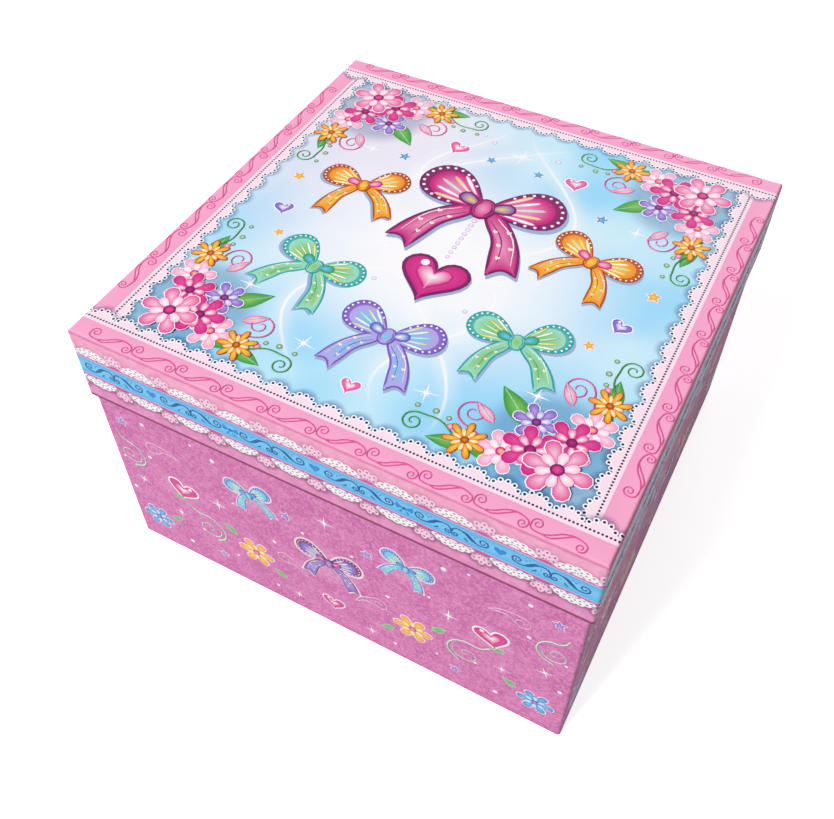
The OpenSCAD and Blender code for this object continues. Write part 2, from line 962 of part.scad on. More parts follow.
module governor_drive_wheel() {
    color("gold")
        translate([drive_x, train_y, arbor_z])
            rotate([90, 0, 90])
                difference() {
                    linear_extrude(fine_w, center = true)
                        difference() {
                            gear_outline(drive_n, fine_m, 0.2, fine_m * 1.25, fine_m);
                            circle(cyl_arbor_r);
                            for (a = [36:72:324])
                                rotate(a)
                                    translate([drive_r * 0.56, 0])
                                        circle(drive_r * 0.2);
                        }
                }
}

// ---------------------------------------------------------------- governor

module governor_frame() {
    mid_y = (worm_y + bed_y) / 2;
    color("darkgray")
        difference() {
            union() {
                for (x = [frame_in, frame_out])
                    slab([x - frame_t / 2, worm_y - frame_half, frame_low - frame_bar_t / 2],
                         [x + frame_t / 2, bed_y, frame_high + frame_bar_t / 2]);
                for (z = [frame_low, frame_high])
                    slab([frame_out, worm_y - frame_half, z - frame_bar_t / 2],
                         [frame_in, worm_y + frame_half, z + frame_bar_t / 2]);
                slab([frame_in - frame_t / 2, train_y - frame_half, arbor_z - frame_half],
                     [frame_in + frame_t / 2, worm_y, arbor_z + frame_half]);
            }
            translate([0, train_y, arbor_z])
                rod_x(frame_in - frame_t, frame_in + frame_t, cyl_arbor_r + arbor_clear);
            translate([0, second_y, arbor_z])
                rod_x(frame_out - frame_t, frame_in + frame_t, second_arbor_r + arbor_clear);
            translate([worm_x, worm_y, frame_low - frame_bar_t])
                cylinder(h = frame_high - frame_low + 2 * frame_bar_t, r = worm_shaft_r + arbor_clear);
            translate([0, lever_y, lever_z])
                rod_x(frame_out - frame_t, frame_out + frame_t / 2 + 0.2, lever_pin_r);
            for (x = [frame_in, frame_out])
                translate([x - frame_t, mid_y, frame_high - frame_half])
                    rotate([0, 90, 0])
                        cylinder(h = 2 * frame_t, r = frame_hole_r);
        }
}

module second_arbor() {
    color("silver")
        translate([0, second_y, arbor_z]) {
            rod_x(frame_out - frame_t / 2, drive_x + fine_w / 2 + 0.6, second_arbor_r);
            translate([drive_x - fine_w / 2 - 0.3, 0, 0])
                rotate([90, 0, 90])
                    linear_extrude(fine_w + 0.6)
                        rotate(180 + 180 / second_n)
                            gear_outline(second_n, fine_m, 0.2, fine_m * 1.2, fine_m);
        }
}

module worm_wheel() {
    wheel_t = 1.2;
    color("gold")
        translate([worm_x, second_y, arbor_z])
            rotate([90, 0, 90])
                linear_extrude(wheel_t, center = true)
                    difference() {
                        rotate(180)
                            gear_outline(worm_wheel_n, fine_m, 0.28, fine_m * 1.25, fine_m);
                        circle(second_arbor_r);
                    }
}

module worm_shaft() {
    low = frame_low - frame_bar_t / 2;
    color("silver")
        translate([worm_x, worm_y, 0]) {
            translate([0, 0, low])
                cylinder(h = blade_z + blade_h - low, r = worm_shaft_r);
            translate([0, 0, arbor_z - worm_l / 2])
                rotate(-90)
                    linear_extrude(worm_l, twist = -360 * worm_turns, slices = 12 * worm_turns, $fn = 14)
                        translate([worm_throw, 0])
                            circle(worm_core_r);
        }
}

module fly() {
    color("dimgray")
        translate([worm_x, worm_y, 0])
            difference() {
                union() {
                    translate([0, 0, brake_z])
                        cylinder(h = brake_h, r = brake_r);
                    translate([0, 0, brake_z])
                        cylinder(h = blade_z + blade_h - brake_z, r = worm_shaft_r + 0.7);
                    for (a = [0, 180])
                        rotate(a)
                            slab([worm_shaft_r, -blade_t / 2, blade_z],
                                 [fly_r, blade_t / 2, blade_z + blade_h]);
                }
                translate([0, 0, brake_z - 1])
                    cylinder(h = blade_z + blade_h - brake_z + 2, r = worm_shaft_r);
            }
}

// ---------------------------------------------------------------- stop lever

module stop_lever() {
    finger_y = worm_y + brake_r + brake_gap;
    color("goldenrod")
        difference() {
            union() {
                translate([0, lever_y, lever_z])
                    rod_x(lever_x - lever_t / 2, lever_x + lever_t / 2, lever_hub_r);
                slab([lever_x - lever_t / 2, lever_y - 1, lever_z],
                     [lever_x + lever_t / 2, lever_y + 1, brake_z + brake_h]);
                slab([lever_x - lever_t / 2, finger_y, brake_z],
                     [lever_x + lever_t / 2, lever_y, brake_z + brake_h]);
                slab([lever_x, finger_y, brake_z],
                     [worm_x + 0.6, finger_y + 1, brake_z + brake_h]);
                translate([lever_x, lever_y, lever_z + lever_hub_r - 0.4])
                    cylinder(h = lever_tip_z - lever_z - lever_hub_r + 0.4, r = lever_wire_r);
                translate([lever_x, lever_y, lever_tip_z])
                    sphere(lever_wire_r);
                translate([lever_x, 0, lever_tip_z])
                    rod_y(lever_y, lid_in_back - lever_tip_gap, lever_wire_r);
            }
            translate([0, lever_y, lever_z])
                rod_x(lever_x - 2, lever_x + 2, lever_pin_r + arbor_clear);
        }
}

module lever_pin() {
    color("silver")
        translate([0, lever_y, lever_z]) {
            rod_x(lever_x - lever_t / 2 - washer_gap, frame_out + frame_t / 2, lever_pin_r);
            rod_x(lever_end, lever_end + lever_pin_head_t, lever_pin_head_r);
        }
}

// ---------------------------------------------------------------- dancer

module spindle_bracket() {
    legs = bracket_x - bracket_t / 2;
    color("darkgray")
        translate([0, train_y, 0])
            difference() {
                union() {
                    for (s = [-1, 1])
                        slab([s * legs - bracket_t / 2, -bracket_w / 2, bracket_bar_z],
                             [s * legs + bracket_t / 2, bracket_w / 2, stage_under]);
                    slab([-legs, -bracket_w / 2, bracket_bar_z],
                         [legs, bracket_w / 2, bracket_bar_z + bracket_t]);
                    slab([-bracket_x - 4, -bracket_w / 2, stage_under - bracket_t],
                         [bracket_x + 4, bracket_w / 2, stage_under]);
                }
                translate([0, 0, bracket_bar_z - 1])
                    cylinder(h = stage_under, r = spindle_r + arbor_clear);
            }
}

module dancer_spindle() {
    color("silver")
        translate([0, train_y, spindle_low])
            cylinder(h = bush_top - spindle_low, r = spindle_r);
}

module spindle_pinion() {
    color("white")
        translate([0, train_y, arbor_z])
            crown_pinion(spindle_r);
}

module dancer_stand() {
    color("white")
        translate([0, train_y, bush_top])
            rotate_extrude()
                polygon([[0, 0], [stand_r, 0], [stand_r, stand_t * 0.5],
                    [stand_r * 0.85, stand_t], [0, stand_t]]);
}

// the spring is a stack of close coils
module dancer_spring() {
    coils = floor(spring_h / (2.2 * wire_r));
    step = (spring_h - 2 * wire_r) / (coils - 1);
    color("silver")
        translate([0, train_y, spring_z]) {
            for (i = [0:coils - 1])
                translate([0, 0, wire_r + i * step])
                    rotate_extrude()
                        translate([spring_r - wire_r, 0])
                            circle(wire_r, $fn = 16);
            translate([spring_r - wire_r, 0, wire_r])
                cylinder(h = spring_h - 2 * wire_r, r = wire_r * 0.8, $fn = 16);
        }
}

// a limb between two balls
module limb(from, to, r0, r1) {
    hull() {
        translate(from)
            sphere(r0, $fn = 16);
        translate(to)
            sphere(r1, $fn = 16);
    }
}

module dancer_figure() {
    h = dancer_h;
    color("bisque")
        translate([0, train_y, toe_z]) {
            cylinder(h = 0.8, r = spring_r);
            translate([0, 0, -spring_h * 0.4])
                cylinder(h = spring_h * 0.4 + eps, r = spring_r - 2 * wire_r - 0.2);
            limb([0, 0, 0.03 * h], [0, 0, 0.26 * h], 0.014 * h, 0.026 * h);
            limb([0, 0, 0.26 * h], [0.01 * h, 0, 0.5 * h], 0.026 * h, 0.04 * h);
            limb([0.03 * h, 0, 0.5 * h], [0.13 * h, -0.05 * h, 0.33 * h], 0.04 * h, 0.026 * h);
            limb([0.13 * h, -0.05 * h, 0.33 * h], [0.03 * h, -0.03 * h, 0.2 * h], 0.026 * h, 0.014 * h);
            limb([0, 0, 0.52 * h], [0, 0, 0.6 * h], 0.058 * h, 0.042 * h);
            limb([0, 0, 0.6 * h], [0, 0, 0.68 * h], 0.042 * h, 0.054 * h);
            limb([0, 0, 0.68 * h], [0, 0, 0.76 * h], 0.024 * h, 0.02 * h);
            translate([0, 0, 0.8 * h])
                scale(0.055 * h)
                    sphere(1, $fn = 24);
            translate([0, 0.03 * h, 0.85 * h])
                sphere(0.03 * h, $fn = 16);
            for (s = [-1, 1]) {
                limb([s * 0.055 * h, 0, 0.7 * h], [s * 0.13 * h, -0.02 * h, 0.82 * h], 0.02 * h, 0.014 * h);
                limb([s * 0.13 * h, -0.02 * h, 0.82 * h], [s * 0.03 * h, -0.02 * h, 0.985 * h],
                    0.014 * h, 0.01 * h);
            }
        }
}

module dancer_tutu() {
    inner = 0.075 * dancer_h;
    tutu_drop = 0.044 * dancer_h;
    color("pink")
        translate([0, train_y, toe_z + 0.55 * dancer_h])
            rotate_extrude()
                polygon([[inner, 0.01 * dancer_h], [tutu_r, -tutu_drop], [tutu_r, -tutu_drop / 2],
                    [inner, tutu_drop]]);
}

base_cover();
floor_board();
front_board();
back_board();
left_board();
right_board();
case_wrap();
lining_collar();
stage_riser();
stage_deck();
bay_divider();
cross_divider();
ring_shelf();
ring_rolls();
floor_mat();
hinge_case_leaves();
hinge_pins();
case_rivets();
lid_top_board();
lid_front_board();
lid_back_board();
lid_left_board();
lid_right_board();
lid_wrap();
lid_ceiling_lining();
lid_mirror();
hinge_lid_leaves();
lid_rivets();
at_movement() bedplate();
at_movement() fixing_screws();
at_movement() key_eyelet();
at_movement() winding_arbor();
at_movement() winding_key();
at_movement() spring_barrel();
at_movement() barrel_cap();
at_movement() mainspring();
at_movement() pinned_cylinder();
at_movement() cylinder_arbor();
at_movement() cylinder_pinion();
at_movement() governor_drive_wheel();
at_movement() music_comb();
at_movement() comb_screws();
at_movement() governor_frame();
at_movement() second_arbor();
at_movement() worm_wheel();
at_movement() worm_shaft();
at_movement() fly();
at_movement() stop_lever();
at_movement() lever_pin();
at_movement() spindle_bracket();
at_movement() dancer_spindle();
at_movement() spindle_pinion();
at_movement() dancer_stand();
at_movement() dancer_spring();
at_movement() dancer_figure();
at_movement() dancer_tutu();
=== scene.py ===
import json
from functools import reduce
from math import atan2, copysign, cos, exp, hypot, pi, radians, sin, sqrt

import bpy
from mathutils import Matrix, Vector, noise


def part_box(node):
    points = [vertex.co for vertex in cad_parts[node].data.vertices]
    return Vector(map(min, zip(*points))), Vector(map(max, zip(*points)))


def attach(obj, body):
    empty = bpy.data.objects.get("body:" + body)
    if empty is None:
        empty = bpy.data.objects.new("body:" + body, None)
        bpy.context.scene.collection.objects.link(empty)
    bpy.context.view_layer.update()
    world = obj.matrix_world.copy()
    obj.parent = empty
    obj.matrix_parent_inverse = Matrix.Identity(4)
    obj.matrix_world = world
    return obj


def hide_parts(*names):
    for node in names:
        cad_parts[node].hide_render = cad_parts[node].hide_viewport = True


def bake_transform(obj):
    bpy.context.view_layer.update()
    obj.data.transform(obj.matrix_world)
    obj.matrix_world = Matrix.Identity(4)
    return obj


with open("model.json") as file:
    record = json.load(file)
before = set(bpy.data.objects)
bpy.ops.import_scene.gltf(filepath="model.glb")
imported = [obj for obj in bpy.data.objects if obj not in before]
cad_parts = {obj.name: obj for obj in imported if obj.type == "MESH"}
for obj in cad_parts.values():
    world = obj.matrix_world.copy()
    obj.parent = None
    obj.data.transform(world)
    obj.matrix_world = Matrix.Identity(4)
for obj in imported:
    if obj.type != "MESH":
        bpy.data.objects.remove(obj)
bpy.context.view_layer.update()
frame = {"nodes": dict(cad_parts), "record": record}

MM = 0.001
ops = bpy.ops

# The sizes that the print is laid out from, in millimetres.
lid_low, lid_high = (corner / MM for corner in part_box("lid_wrap"))
LID_HALF_X = lid_high.x
LID_MID_Y = (lid_low.y + lid_high.y) / 2
LID_HALF_Y = (lid_high.y - lid_low.y) / 2
LID_TOP = lid_high.z
LID_SKIRT = lid_high.z - lid_low.z
CASE_HALF = (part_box("case_wrap")[1] / MM).x

# Bands of the lid's print, in from an edge of the top or down the skirt.
BAND, DOTS, EYELETS = 6.15, 7.45, (9.2, 10.3, 10.65)
LACE_FOOT, RIBBON_TOP, RIBBON_END, LOWER_LACE = 8.3, 9.1, 15.6, 16.5
RIBBON_MID = (RIBBON_TOP + RIBBON_END) / 2
# Lengths after which a pattern repeats.
SCALLOP, DOT_PITCH, FAN_PITCH, CHARM_PITCH, SCROLL_PITCH = 7.85, 0.985, 15.45, 25.4, 14.0
# Glows behind the larger motifs of a wall: their place along it and up it, and their radius.
CASE_GLOWS = ((0, 36, 12), (27, 22, 7.5), (25, 53, 8.5), (51, 39, 8), (66, 14, 6.5))
# Strands of light across the picture: swing, its length, where it starts, and how far it leans.
LIGHT_STRANDS = ((22.0, 17.0, 0.4, 0.25), (15.0, 13.0, 2.6, -0.35), (30.0, 24.0, 4.0, 0.1))
# Metal on the back wall that motifs keep clear of: place along it and up it, and radius.
BACK_METAL = ((0, 18, 12), (59.8, 33, 9), (59.8, 7, 9), (-13.4, 33, 9), (-42, 66, 16), (42, 66, 16))

RELIEF = 0.5  # how far the motifs stand up, as a share of their modelled height
CLOTH_SCALE = 10.0  # the rolls are stuffed at ten times their size, which suits the cloth solver
DOLL_HEIGHT = 41.0 * MM
HEAD_AT = (0, -0.004, 0.805)  # in shares of the doll's height

# ---- inks ----

INKS = {
    "white": (255, 252, 254), "blush": (253, 222, 236), "pale_pink": (250, 200, 223),
    "pink": (246, 160, 200), "hot_pink": (233, 84, 158), "magenta": (205, 40, 130),
    "plum": (122, 32, 98), "violet": (128, 92, 190), "lavender": (186, 168, 232),
    "shade": (158, 180, 214), "sky": (124, 200, 242), "blue": (56, 128, 204),
    "ribbon_blue": (14, 96, 166), "charm_blue": (30, 140, 216), "teal": (48, 168, 168),
    "mint": (158, 222, 196), "pale_green": (204, 226, 208), "green": (66, 156, 74),
    "leaf": (134, 196, 88), "yellow": (250, 212, 84), "orange": (245, 148, 46),
    "rust": (176, 74, 26), "scroll": (238, 92, 160),
    # the doll's
    "skin": (248, 208, 184), "tights": (252, 226, 232), "bodice": (240, 120, 176),
    "shoe": (226, 84, 150), "hair": (104, 62, 40), "trim": (252, 232, 242),
}


def ink(*colour):
    """An ink by its name, or by its red, green and blue in 0 to 255, as a shader takes it."""
    shares = [v / 255 for v in (INKS[colour[0]] if len(colour) == 1 else colour)]
    return (*(s / 12.92 if s <= 0.04045 else ((s + 0.055) / 1.055) ** 2.4 for s in shares), 1.0)


# ---- formulas ----

def sign(operation):
    """A sign such as + between a field and a field or number."""
    return lambda field, other: field.formula.maths(operation, field, other)


class Field:
    """A value that varies over a surface."""

    def __init__(self, formula, socket):
        self.formula, self.socket = formula, socket

    __add__ = __radd__ = sign("ADD")
    __sub__ = sign("SUBTRACT")
    __mul__ = __rmul__ = sign("MULTIPLY")
    __truediv__ = sign("DIVIDE")
    __mod__ = sign("FLOORED_MODULO")
    __lt__ = sign("LESS_THAN")
    __gt__ = sign("GREATER_THAN")

    def __rsub__(self, other):
        return self.formula.maths("SUBTRACT", other, self)

    def __abs__(self):
        return self.formula.maths("ABSOLUTE", self)


class Formula:
    """Shader nodes written as formulas."""

    def __init__(self, tree):
        self.tree = tree

    def feed(self, value, socket):
        """Links a field to a socket, or sets a plain number or colour on it."""
        if isinstance(value, Field):
            self.tree.links.new(value.socket, socket)
        else:
            socket.default_value = value

    def step(self, kind, inputs, output=0, **settings):
        """Adds a node with its inputs fed, and gives the field that it makes."""
        made = self.tree.nodes.new("ShaderNode" + kind)
        for name, value in settings.items():
            setattr(made, name, value)
        for name, value in inputs.items():
            self.feed(value, made.inputs[name])
        return Field(self, made.outputs[output])

    def maths(self, operation, *values):
        return self.step("Math", dict(enumerate(values)), operation=operation)

    def parts(self, vector):
        split = self.step("SeparateXYZ", {0: vector}).socket.node
        return [Field(self, part) for part in split.outputs]

    def place(self):
        """The x, y and z of a point, in millimetres."""
        where = self.step("TexCoord", {}, "Object")
        self.where = self.step("VectorMath", {0: where, "Scale": 1 / MM}, operation="SCALE")
        return self.parts(self.where)

    def facing(self, axis):
        """1 where the surface faces along an axis of the object, either way."""
        return abs(self.parts(self.step("TexCoord", {}, "Normal"))["XYZ".index(axis)]) > 0.72

    def seen(self):
        """1 for rays that show the surroundings, also in glossy and clear surfaces."""
        path = self.step("LightPath", {}).socket.node
        rays = ("Is Camera Ray", "Is Glossy Ray", "Is Transmission Ray")
        return self.most(*(Field(self, path.outputs[ray]) for ray in rays))

    def least(self, *values):
        return reduce(lambda a, b: self.maths("MINIMUM", a, b), values)

    def most(self, *values):
        return reduce(lambda a, b: self.maths("MAXIMUM", a, b), values)

    def pick(self, choice, a, b):
        """Field a where choice is 1 and field b where it is 0."""
        return a * choice + b * (1.0 - choice)

    def span(self, a, b):
        """The length of the hypotenuse over a and b."""
        return self.maths("SQRT", a * a + b * b)

    def soft(self, value, low, high):
        """0 where the value is below low, 1 above high, and smooth between."""
        inputs = {"Value": value, "From Min": low, "From Max": high}
        return self.step("MapRange", inputs, interpolation_type="SMOOTHSTEP")

    def mix(self, share, a, b, blend="MIX"):
        """Colour a where share is 0 and colour b where it is 1."""
        return self.step("Mix", {0: share, 6: a, 7: b}, 2, data_type="RGBA", blend_type=blend)

    def tint(self, share, a, b):
        """Colour a, darkened by colour b where share is 1."""
        return self.mix(share, a, b, "MULTIPLY")

    def noise(self, size, detail=2.0, stretch=None, seed=0.0):
        """Smooth noise from 0 to 1 whose features are about that many millimetres."""
        where = self.where
        if stretch:
            where = self.step("VectorMath", {0: where, 1: stretch}, operation="MULTIPLY")
        inputs = {"Vector": where, "W": seed, "Scale": 1 / size, "Detail": detail}
        return self.step("TexNoise", inputs, noise_dimensions="4D")


class Finish(Formula):
    """A material written as formulas of the place on the object."""

    def __init__(self, name, roughness, **sockets):
        self.material = bpy.data.materials.new(name)
        self.material.use_nodes = True
        self.roughness = roughness
        super().__init__(self.material.node_tree)
        self.shader = self.tree.nodes["Principled BSDF"].inputs
        for socket, value in {"Roughness": roughness, **sockets}.items():
            self.shader[socket.replace("_", " ")].default_value = value

    def dress(self, colour, rough=None, bumps=None, depth=0.0):
        """Feeds the shader and gives the material; bumps rise by a depth in millimetres."""
        self.feed(colour, self.shader["Base Color"])
        if rough is not None:
            self.feed(rough, self.shader["Roughness"])
        if bumps is not None:
            raised = self.step("Bump", {"Strength": 1.0, "Distance": depth * MM, "Height": bumps})
            self.feed(raised, self.shader["Normal"])
        return self.material


# ---- finishes ----

def papered(f, colour, amount=0.05):
    """Fibre and small unevenness of printed paper, over a colour."""
    fibre = f.noise(0.35, 3.0, seed=3.0)
    cloud = f.noise(9.0, 3.0, seed=5.0)
    shade = f.soft(fibre * 0.5 + cloud * 0.5, 0.25, 0.75)
    colour = f.tint(shade * amount, colour, (0.0, 0.0, 0.0, 1.0))
    return f.dress(colour, fibre * 0.12 + f.roughness, fibre, 0.012)


def scalloped_lace(f, along, across):
    """A lace edge with five eyelets to a scallop: its cover, rings, holes and rough edge."""
    low, middle, peak = EYELETS
    out = abs(along % SCALLOP - SCALLOP / 2)
    shoulder, foot = 0.225 * SCALLOP, 0.394 * SCALLOP
    eyelets = ((0.0, peak), (shoulder, middle), (foot, low))
    near = f.least(*(f.span(out - a, across - b) for a, b in eyelets))
    upper = out * ((middle - peak) / shoulder) + peak
    lower = (out - shoulder) * ((low - middle) / (foot - shoulder)) + middle
    edge = f.least(upper, lower)
    return f.most(across < edge, near < 0.72), near < 0.72, near < 0.38, edge


def crochet_fan(f, out, up, wide, tall, lobes):
    """A crocheted half-round fan on its foot: its cover, its holes and how far off a point is."""
    mean = (wide + tall) / 2
    across, high = out / wide, up / tall
    reach = f.span(across, high)
    turn = f.maths("ARCTAN2", high, across)
    sector = pi / lobes
    off = turn % sector - sector / 2
    between = (turn + sector / 2) % sector - sector / 2
    ahead, aside, ahead_b, aside_b = (
        reach * f.maths(way, angle) for angle in (off, between) for way in ("COSINE", "SINE")
    )
    lobe = f.span((ahead - 1.0) * mean, aside * mean)
    cover = f.most(reach < 1.0, lobe < 0.95) * (up > 0.0)
    holes = f.most(
        lobe < 0.31,
        f.span((ahead_b - 0.66) * mean, aside_b * mean) < 0.27,
        f.span((ahead - 0.36) * mean, aside * mean) < 0.22,
    )
    return cover, holes * cover, f.least(lobe - 0.95, (reach - 1.0) * mean)


def case_print():
    """Mottled magenta paper with pale glows behind its motifs and painted shade along its foot, the
    same on each wall.
    """
    f = Finish("case_print", 0.5, Specular_IOR_Level=0.1)
    x, y, z = f.place()
    along = abs(f.pick(abs(y) > abs(x), x, y))
    cloud = f.noise(6.0, 5.0, seed=1.0)
    fleck = f.noise(0.8, 4.0, seed=2.0)
    paper = f.mix(f.soft(cloud, 0.36, 0.66), ink(213, 118, 178), ink(225, 137, 192))
    paper = f.mix(f.soft(fleck, 0.45, 0.65) * 0.6, paper, ink(241, 168, 210))
    paper = f.mix(f.soft(fleck, 0.52, 0.36) * 0.45, paper, ink(190, 95, 159))
    for at, up, radius in CASE_GLOWS:
        glow = f.soft(f.span(along - at, z - up), radius, radius * 0.4)
        paper = f.mix(glow * 0.18, paper, ink("blush"))
    # The lowest 3 mm of each wall darken towards the floor: painted shade where the box stands on
    # it.
    return papered(f, f.mix(f.soft(z, 3.0, 0.0) * 0.25, paper, ink(158, 64, 130)))


def sky_glow(f, x, y):
    """The picture's ground: sky blue that clears to a white glow, with strands of light."""
    cloud = f.soft(f.noise(34.0, 1.0, seed=7.0), 0.35, 0.65)
    blush = f.soft(f.span(x + 42.0, (y - 34.0) * 0.8), 60.0, 8.0)
    glow = f.soft(f.span(x * 0.8, y + 4.0), 56.0, 10.0)
    sky = f.mix(cloud, ink(150, 216, 250), ink(200, 236, 252))
    sky = f.mix(blush * 0.75, sky, ink(255, 236, 246))
    sky = f.mix(glow * 0.92, sky, ink("white"))
    fade = f.soft(abs(y), 66.0, 40.0)
    for swing, length, start, lean in LIGHT_STRANDS:
        turn = y / length + start
        slope = f.maths("COSINE", turn) * (swing / length) + lean
        near = abs(x - f.maths("SINE", turn) * swing - y * lean) / f.span(slope, 1.0)
        sky = f.mix(f.soft(near, 5.0, 0.0) * fade * 0.35, sky, ink("white"))
        sky = f.mix(f.soft(near, 0.7, 0.15) * fade * 0.85, sky, ink("white"))
    return sky


def lid_top(f, x, y):
    """The lid's top: pink bands, pale strips with dots and a lace edge, round a picture."""
    shadow = ink(112, 132, 170)
    dark = f.soft(f.noise(14.0, 0.0, seed=8.0), 0.42, 0.58)
    dark = f.mix(dark, ink(34, 70, 100), ink(60, 24, 70))
    posy = f.soft(f.span(abs(x) - 52.0, abs(y) - 52.0), 20.0, 13.0)
    top = f.tint(posy * 0.5, sky_glow(f, x, y), shadow)
    for run, across in ((y, LID_HALF_X - abs(x)), (x, LID_HALF_Y - abs(y))):
        cover, rings, holes, edge = scalloped_lace(f, run + SCALLOP / 2, across)
        dots = f.span(run % DOT_PITCH - DOT_PITCH / 2, across - DOTS) < 0.31
        top = f.tint(f.soft(across - edge, 2.9, 0.2) * 0.75, top, shadow)
        for place, colour in ((cover, ink(254, 226, 240)), (rings, ink("white")), (holes, dark),
                              (dots, dark)):
            top = f.mix(place, top, colour)
        banded = f.mix(f.soft(across, 0.0, BAND) * 0.5, ink(250, 172, 208), ink(245, 162, 201))
        top = f.mix(across < BAND, top, banded)
        top = f.tint(f.soft(abs(across - BAND), 0.3, 0.0) * 0.25, top, ink("pink"))
    return top


def lid_skirt(f, along, down):
    """The lid's skirt: crocheted fans above and below a blue ribbon, with painted shadows under the
    fans and along the bottom edge.
    """
    # Deep mauve for the stitches, and for the painted shadow that the fans cast.
    deep = ink(146, 70, 122)
    mottle = f.soft(f.noise(2.2, 4.0, seed=10.0), 0.35, 0.7)
    upper = f.mix(mottle, ink(246, 166, 202), ink(253, 186, 214))
    lower = f.mix(mottle, ink(226, 142, 192), ink(240, 164, 206))
    skirt = f.mix(down > RIBBON_TOP, upper, lower)
    foot = (down > LACE_FOOT - 0.1) * (down < LOWER_LACE + 0.3)
    skirt = f.mix(foot, skirt, ink(206, 112, 168))
    from_mid = abs(down - RIBBON_MID)
    ribbon = f.mix(f.soft(from_mid, 0.6, 3.1), ink(128, 208, 248), ink(104, 190, 240))
    thread = f.noise(0.5, 1.0, stretch=(0.04, 0.04, 1.0), seed=9.0)
    ribbon = f.tint(f.soft(thread, 0.4, 0.7) * 0.12, ribbon, ink("blue"))
    off = from_mid - (RIBBON_END - RIBBON_TOP) / 2
    skirt = f.mix(off < 0.3, skirt, ink(226, 190, 236))
    skirt = f.mix(off < 0.0, skirt, ribbon)
    up = f.most(LACE_FOOT - down, down - LOWER_LACE)
    below = down > RIBBON_END
    middle = abs(along % FAN_PITCH - FAN_PITCH / 2)
    for out, wide, tall, lobes, inner, outer in (
        (FAN_PITCH / 2 - middle, 3.3, 4.1, 5, (244, 160, 206), (255, 214, 236)),
        (middle, 4.7, 3.1, 7, (255, 232, 246), (255, 255, 255)),
    ):
        cover, holes, off = crochet_fan(f, out, up, wide, tall, lobes)
        # Painted shadow that each fan casts on the skirt, stronger below the ribbon.
        skirt = f.tint(f.soft(off, 1.7, 0.0) * (up > 0.0) * (below * 0.4 + 0.25), skirt, deep)
        skirt = f.mix(cover, skirt, f.mix(f.soft(up, 0.0, 1.4), ink(*inner), ink(*outer)))
        skirt = f.mix(holes, skirt, ink(132, 84, 118))
        if tall > 4.0:
            disc = (f.span(out, up) < 1.0) * (up > -0.1)
            skirt = f.mix(disc, skirt, ink(214, 96, 158))
    stitch = f.span((along % 2.575) - 1.2875, (up - 0.12) * 2.2) < 0.45
    skirt = f.mix(stitch * (up > -0.3) * (below * 0.3 + 0.45), skirt, deep)
    # Painted shadow of the gap between the lid and the case: a dark band along the bottom of the
    # skirts, left off faces that look up or down.
    lower_band = f.soft(down, LID_SKIRT - 1.3, LID_SKIRT - 0.7) * (1.0 - f.facing("Z"))
    return f.tint(lower_band * 0.9, skirt, ink(142, 50, 100))


def lid_print():
    """The printed paper of the lid, its top and its four skirts, with painted shade over the
    rounded edge between them.
    """
    f = Finish("lid_print", 0.45, Specular_IOR_Level=0.12)
    x, y, z = f.place()
    y = y - LID_MID_Y
    down = LID_TOP - z
    along = f.pick((LID_HALF_Y - abs(y)) < (LID_HALF_X - abs(x)), x, y)
    # Painted shade over the rounded edge where the top turns down into the skirts, with a thin
    # painted shade line along that edge.
    fold = f.soft(down, 0.02, 0.15) * f.soft(down, 1.2, 0.7)
    crease = f.soft(abs(down - 0.45), 0.28, 0.1)
    paper = f.mix(down > 0.35, lid_top(f, x, y), lid_skirt(f, along, down))
    # The rounded edge and the line along it are darkened here as painted shade.
    paper = f.tint(fold * 0.4, paper, ink(214, 150, 184))
    return papered(f, f.tint(crease * 0.4, paper, ink(140, 84, 116)), 0.035)


def lining_paper():
    """Pale pink lining paper with a small tone-on-tone spot."""
    f = Finish("lining_paper", 0.62)
    x, y, z = f.place()
    run = f.pick(f.facing("X"), y, x)
    rise = f.pick(f.facing("Z"), y, z)
    pitch = 5.0
    row = f.maths("FLOOR", rise / pitch) % 2.0
    across = abs((run + row * pitch / 2) % pitch - pitch / 2)
    up = abs(rise % pitch - pitch / 2)
    spot = f.most(f.span(across, up) < 0.5, across + up * 3.0 < 0.95, across * 3.0 + up < 0.95)
    return papered(f, f.mix(spot * 0.7, ink(247, 192, 216), ink(253, 232, 241)))


def velvet(name, deep, bright):
    """Short velvet pile over foam, a little crushed."""
    f = Finish(name, 0.92, Sheen_Weight=0.55, Sheen_Roughness=0.35, Sheen_Tint=bright)
    f.place()
    crush = f.noise(6.0, 3.0, seed=11.0)
    pile = f.noise(0.28, 2.0, seed=12.0)
    shade = f.soft(crush * 0.35 + pile * 0.65, 0.25, 0.75)
    return f.dress(f.mix(shade, deep, bright), None, pile, 0.14)


def metal(name, rgb, roughness, grain, stretch=None):
    """A metal with fine tool marks and a slight tarnish."""
    f = Finish(name, roughness, Metallic=1.0)
    f.place()
    marks = f.noise(grain, 3.0, stretch=stretch, seed=13.0)
    tarnish = f.soft(f.noise(4.0, 3.0, seed=14.0), 0.35, 0.8)
    colour = f.mix(tarnish * 0.45, ink(*rgb), ink(*(v * 0.72 for v in rgb)))
    return f.dress(colour, marks * 0.22 + roughness - 0.06, marks, 0.01)


def plastic(name, rgb, roughness):
    """Moulded plastic with a faint flow texture."""
    f = Finish(name, roughness)
    f.place()
    flow = f.noise(2.5, 3.0, seed=15.0)
    colour = f.mix(f.soft(flow, 0.3, 0.7), ink(*rgb), ink(*(v * 0.93 for v in rgb)))
    return f.dress(colour, flow * 0.15 + roughness - 0.05, f.noise(0.4, 2.0, seed=16.0), 0.008)


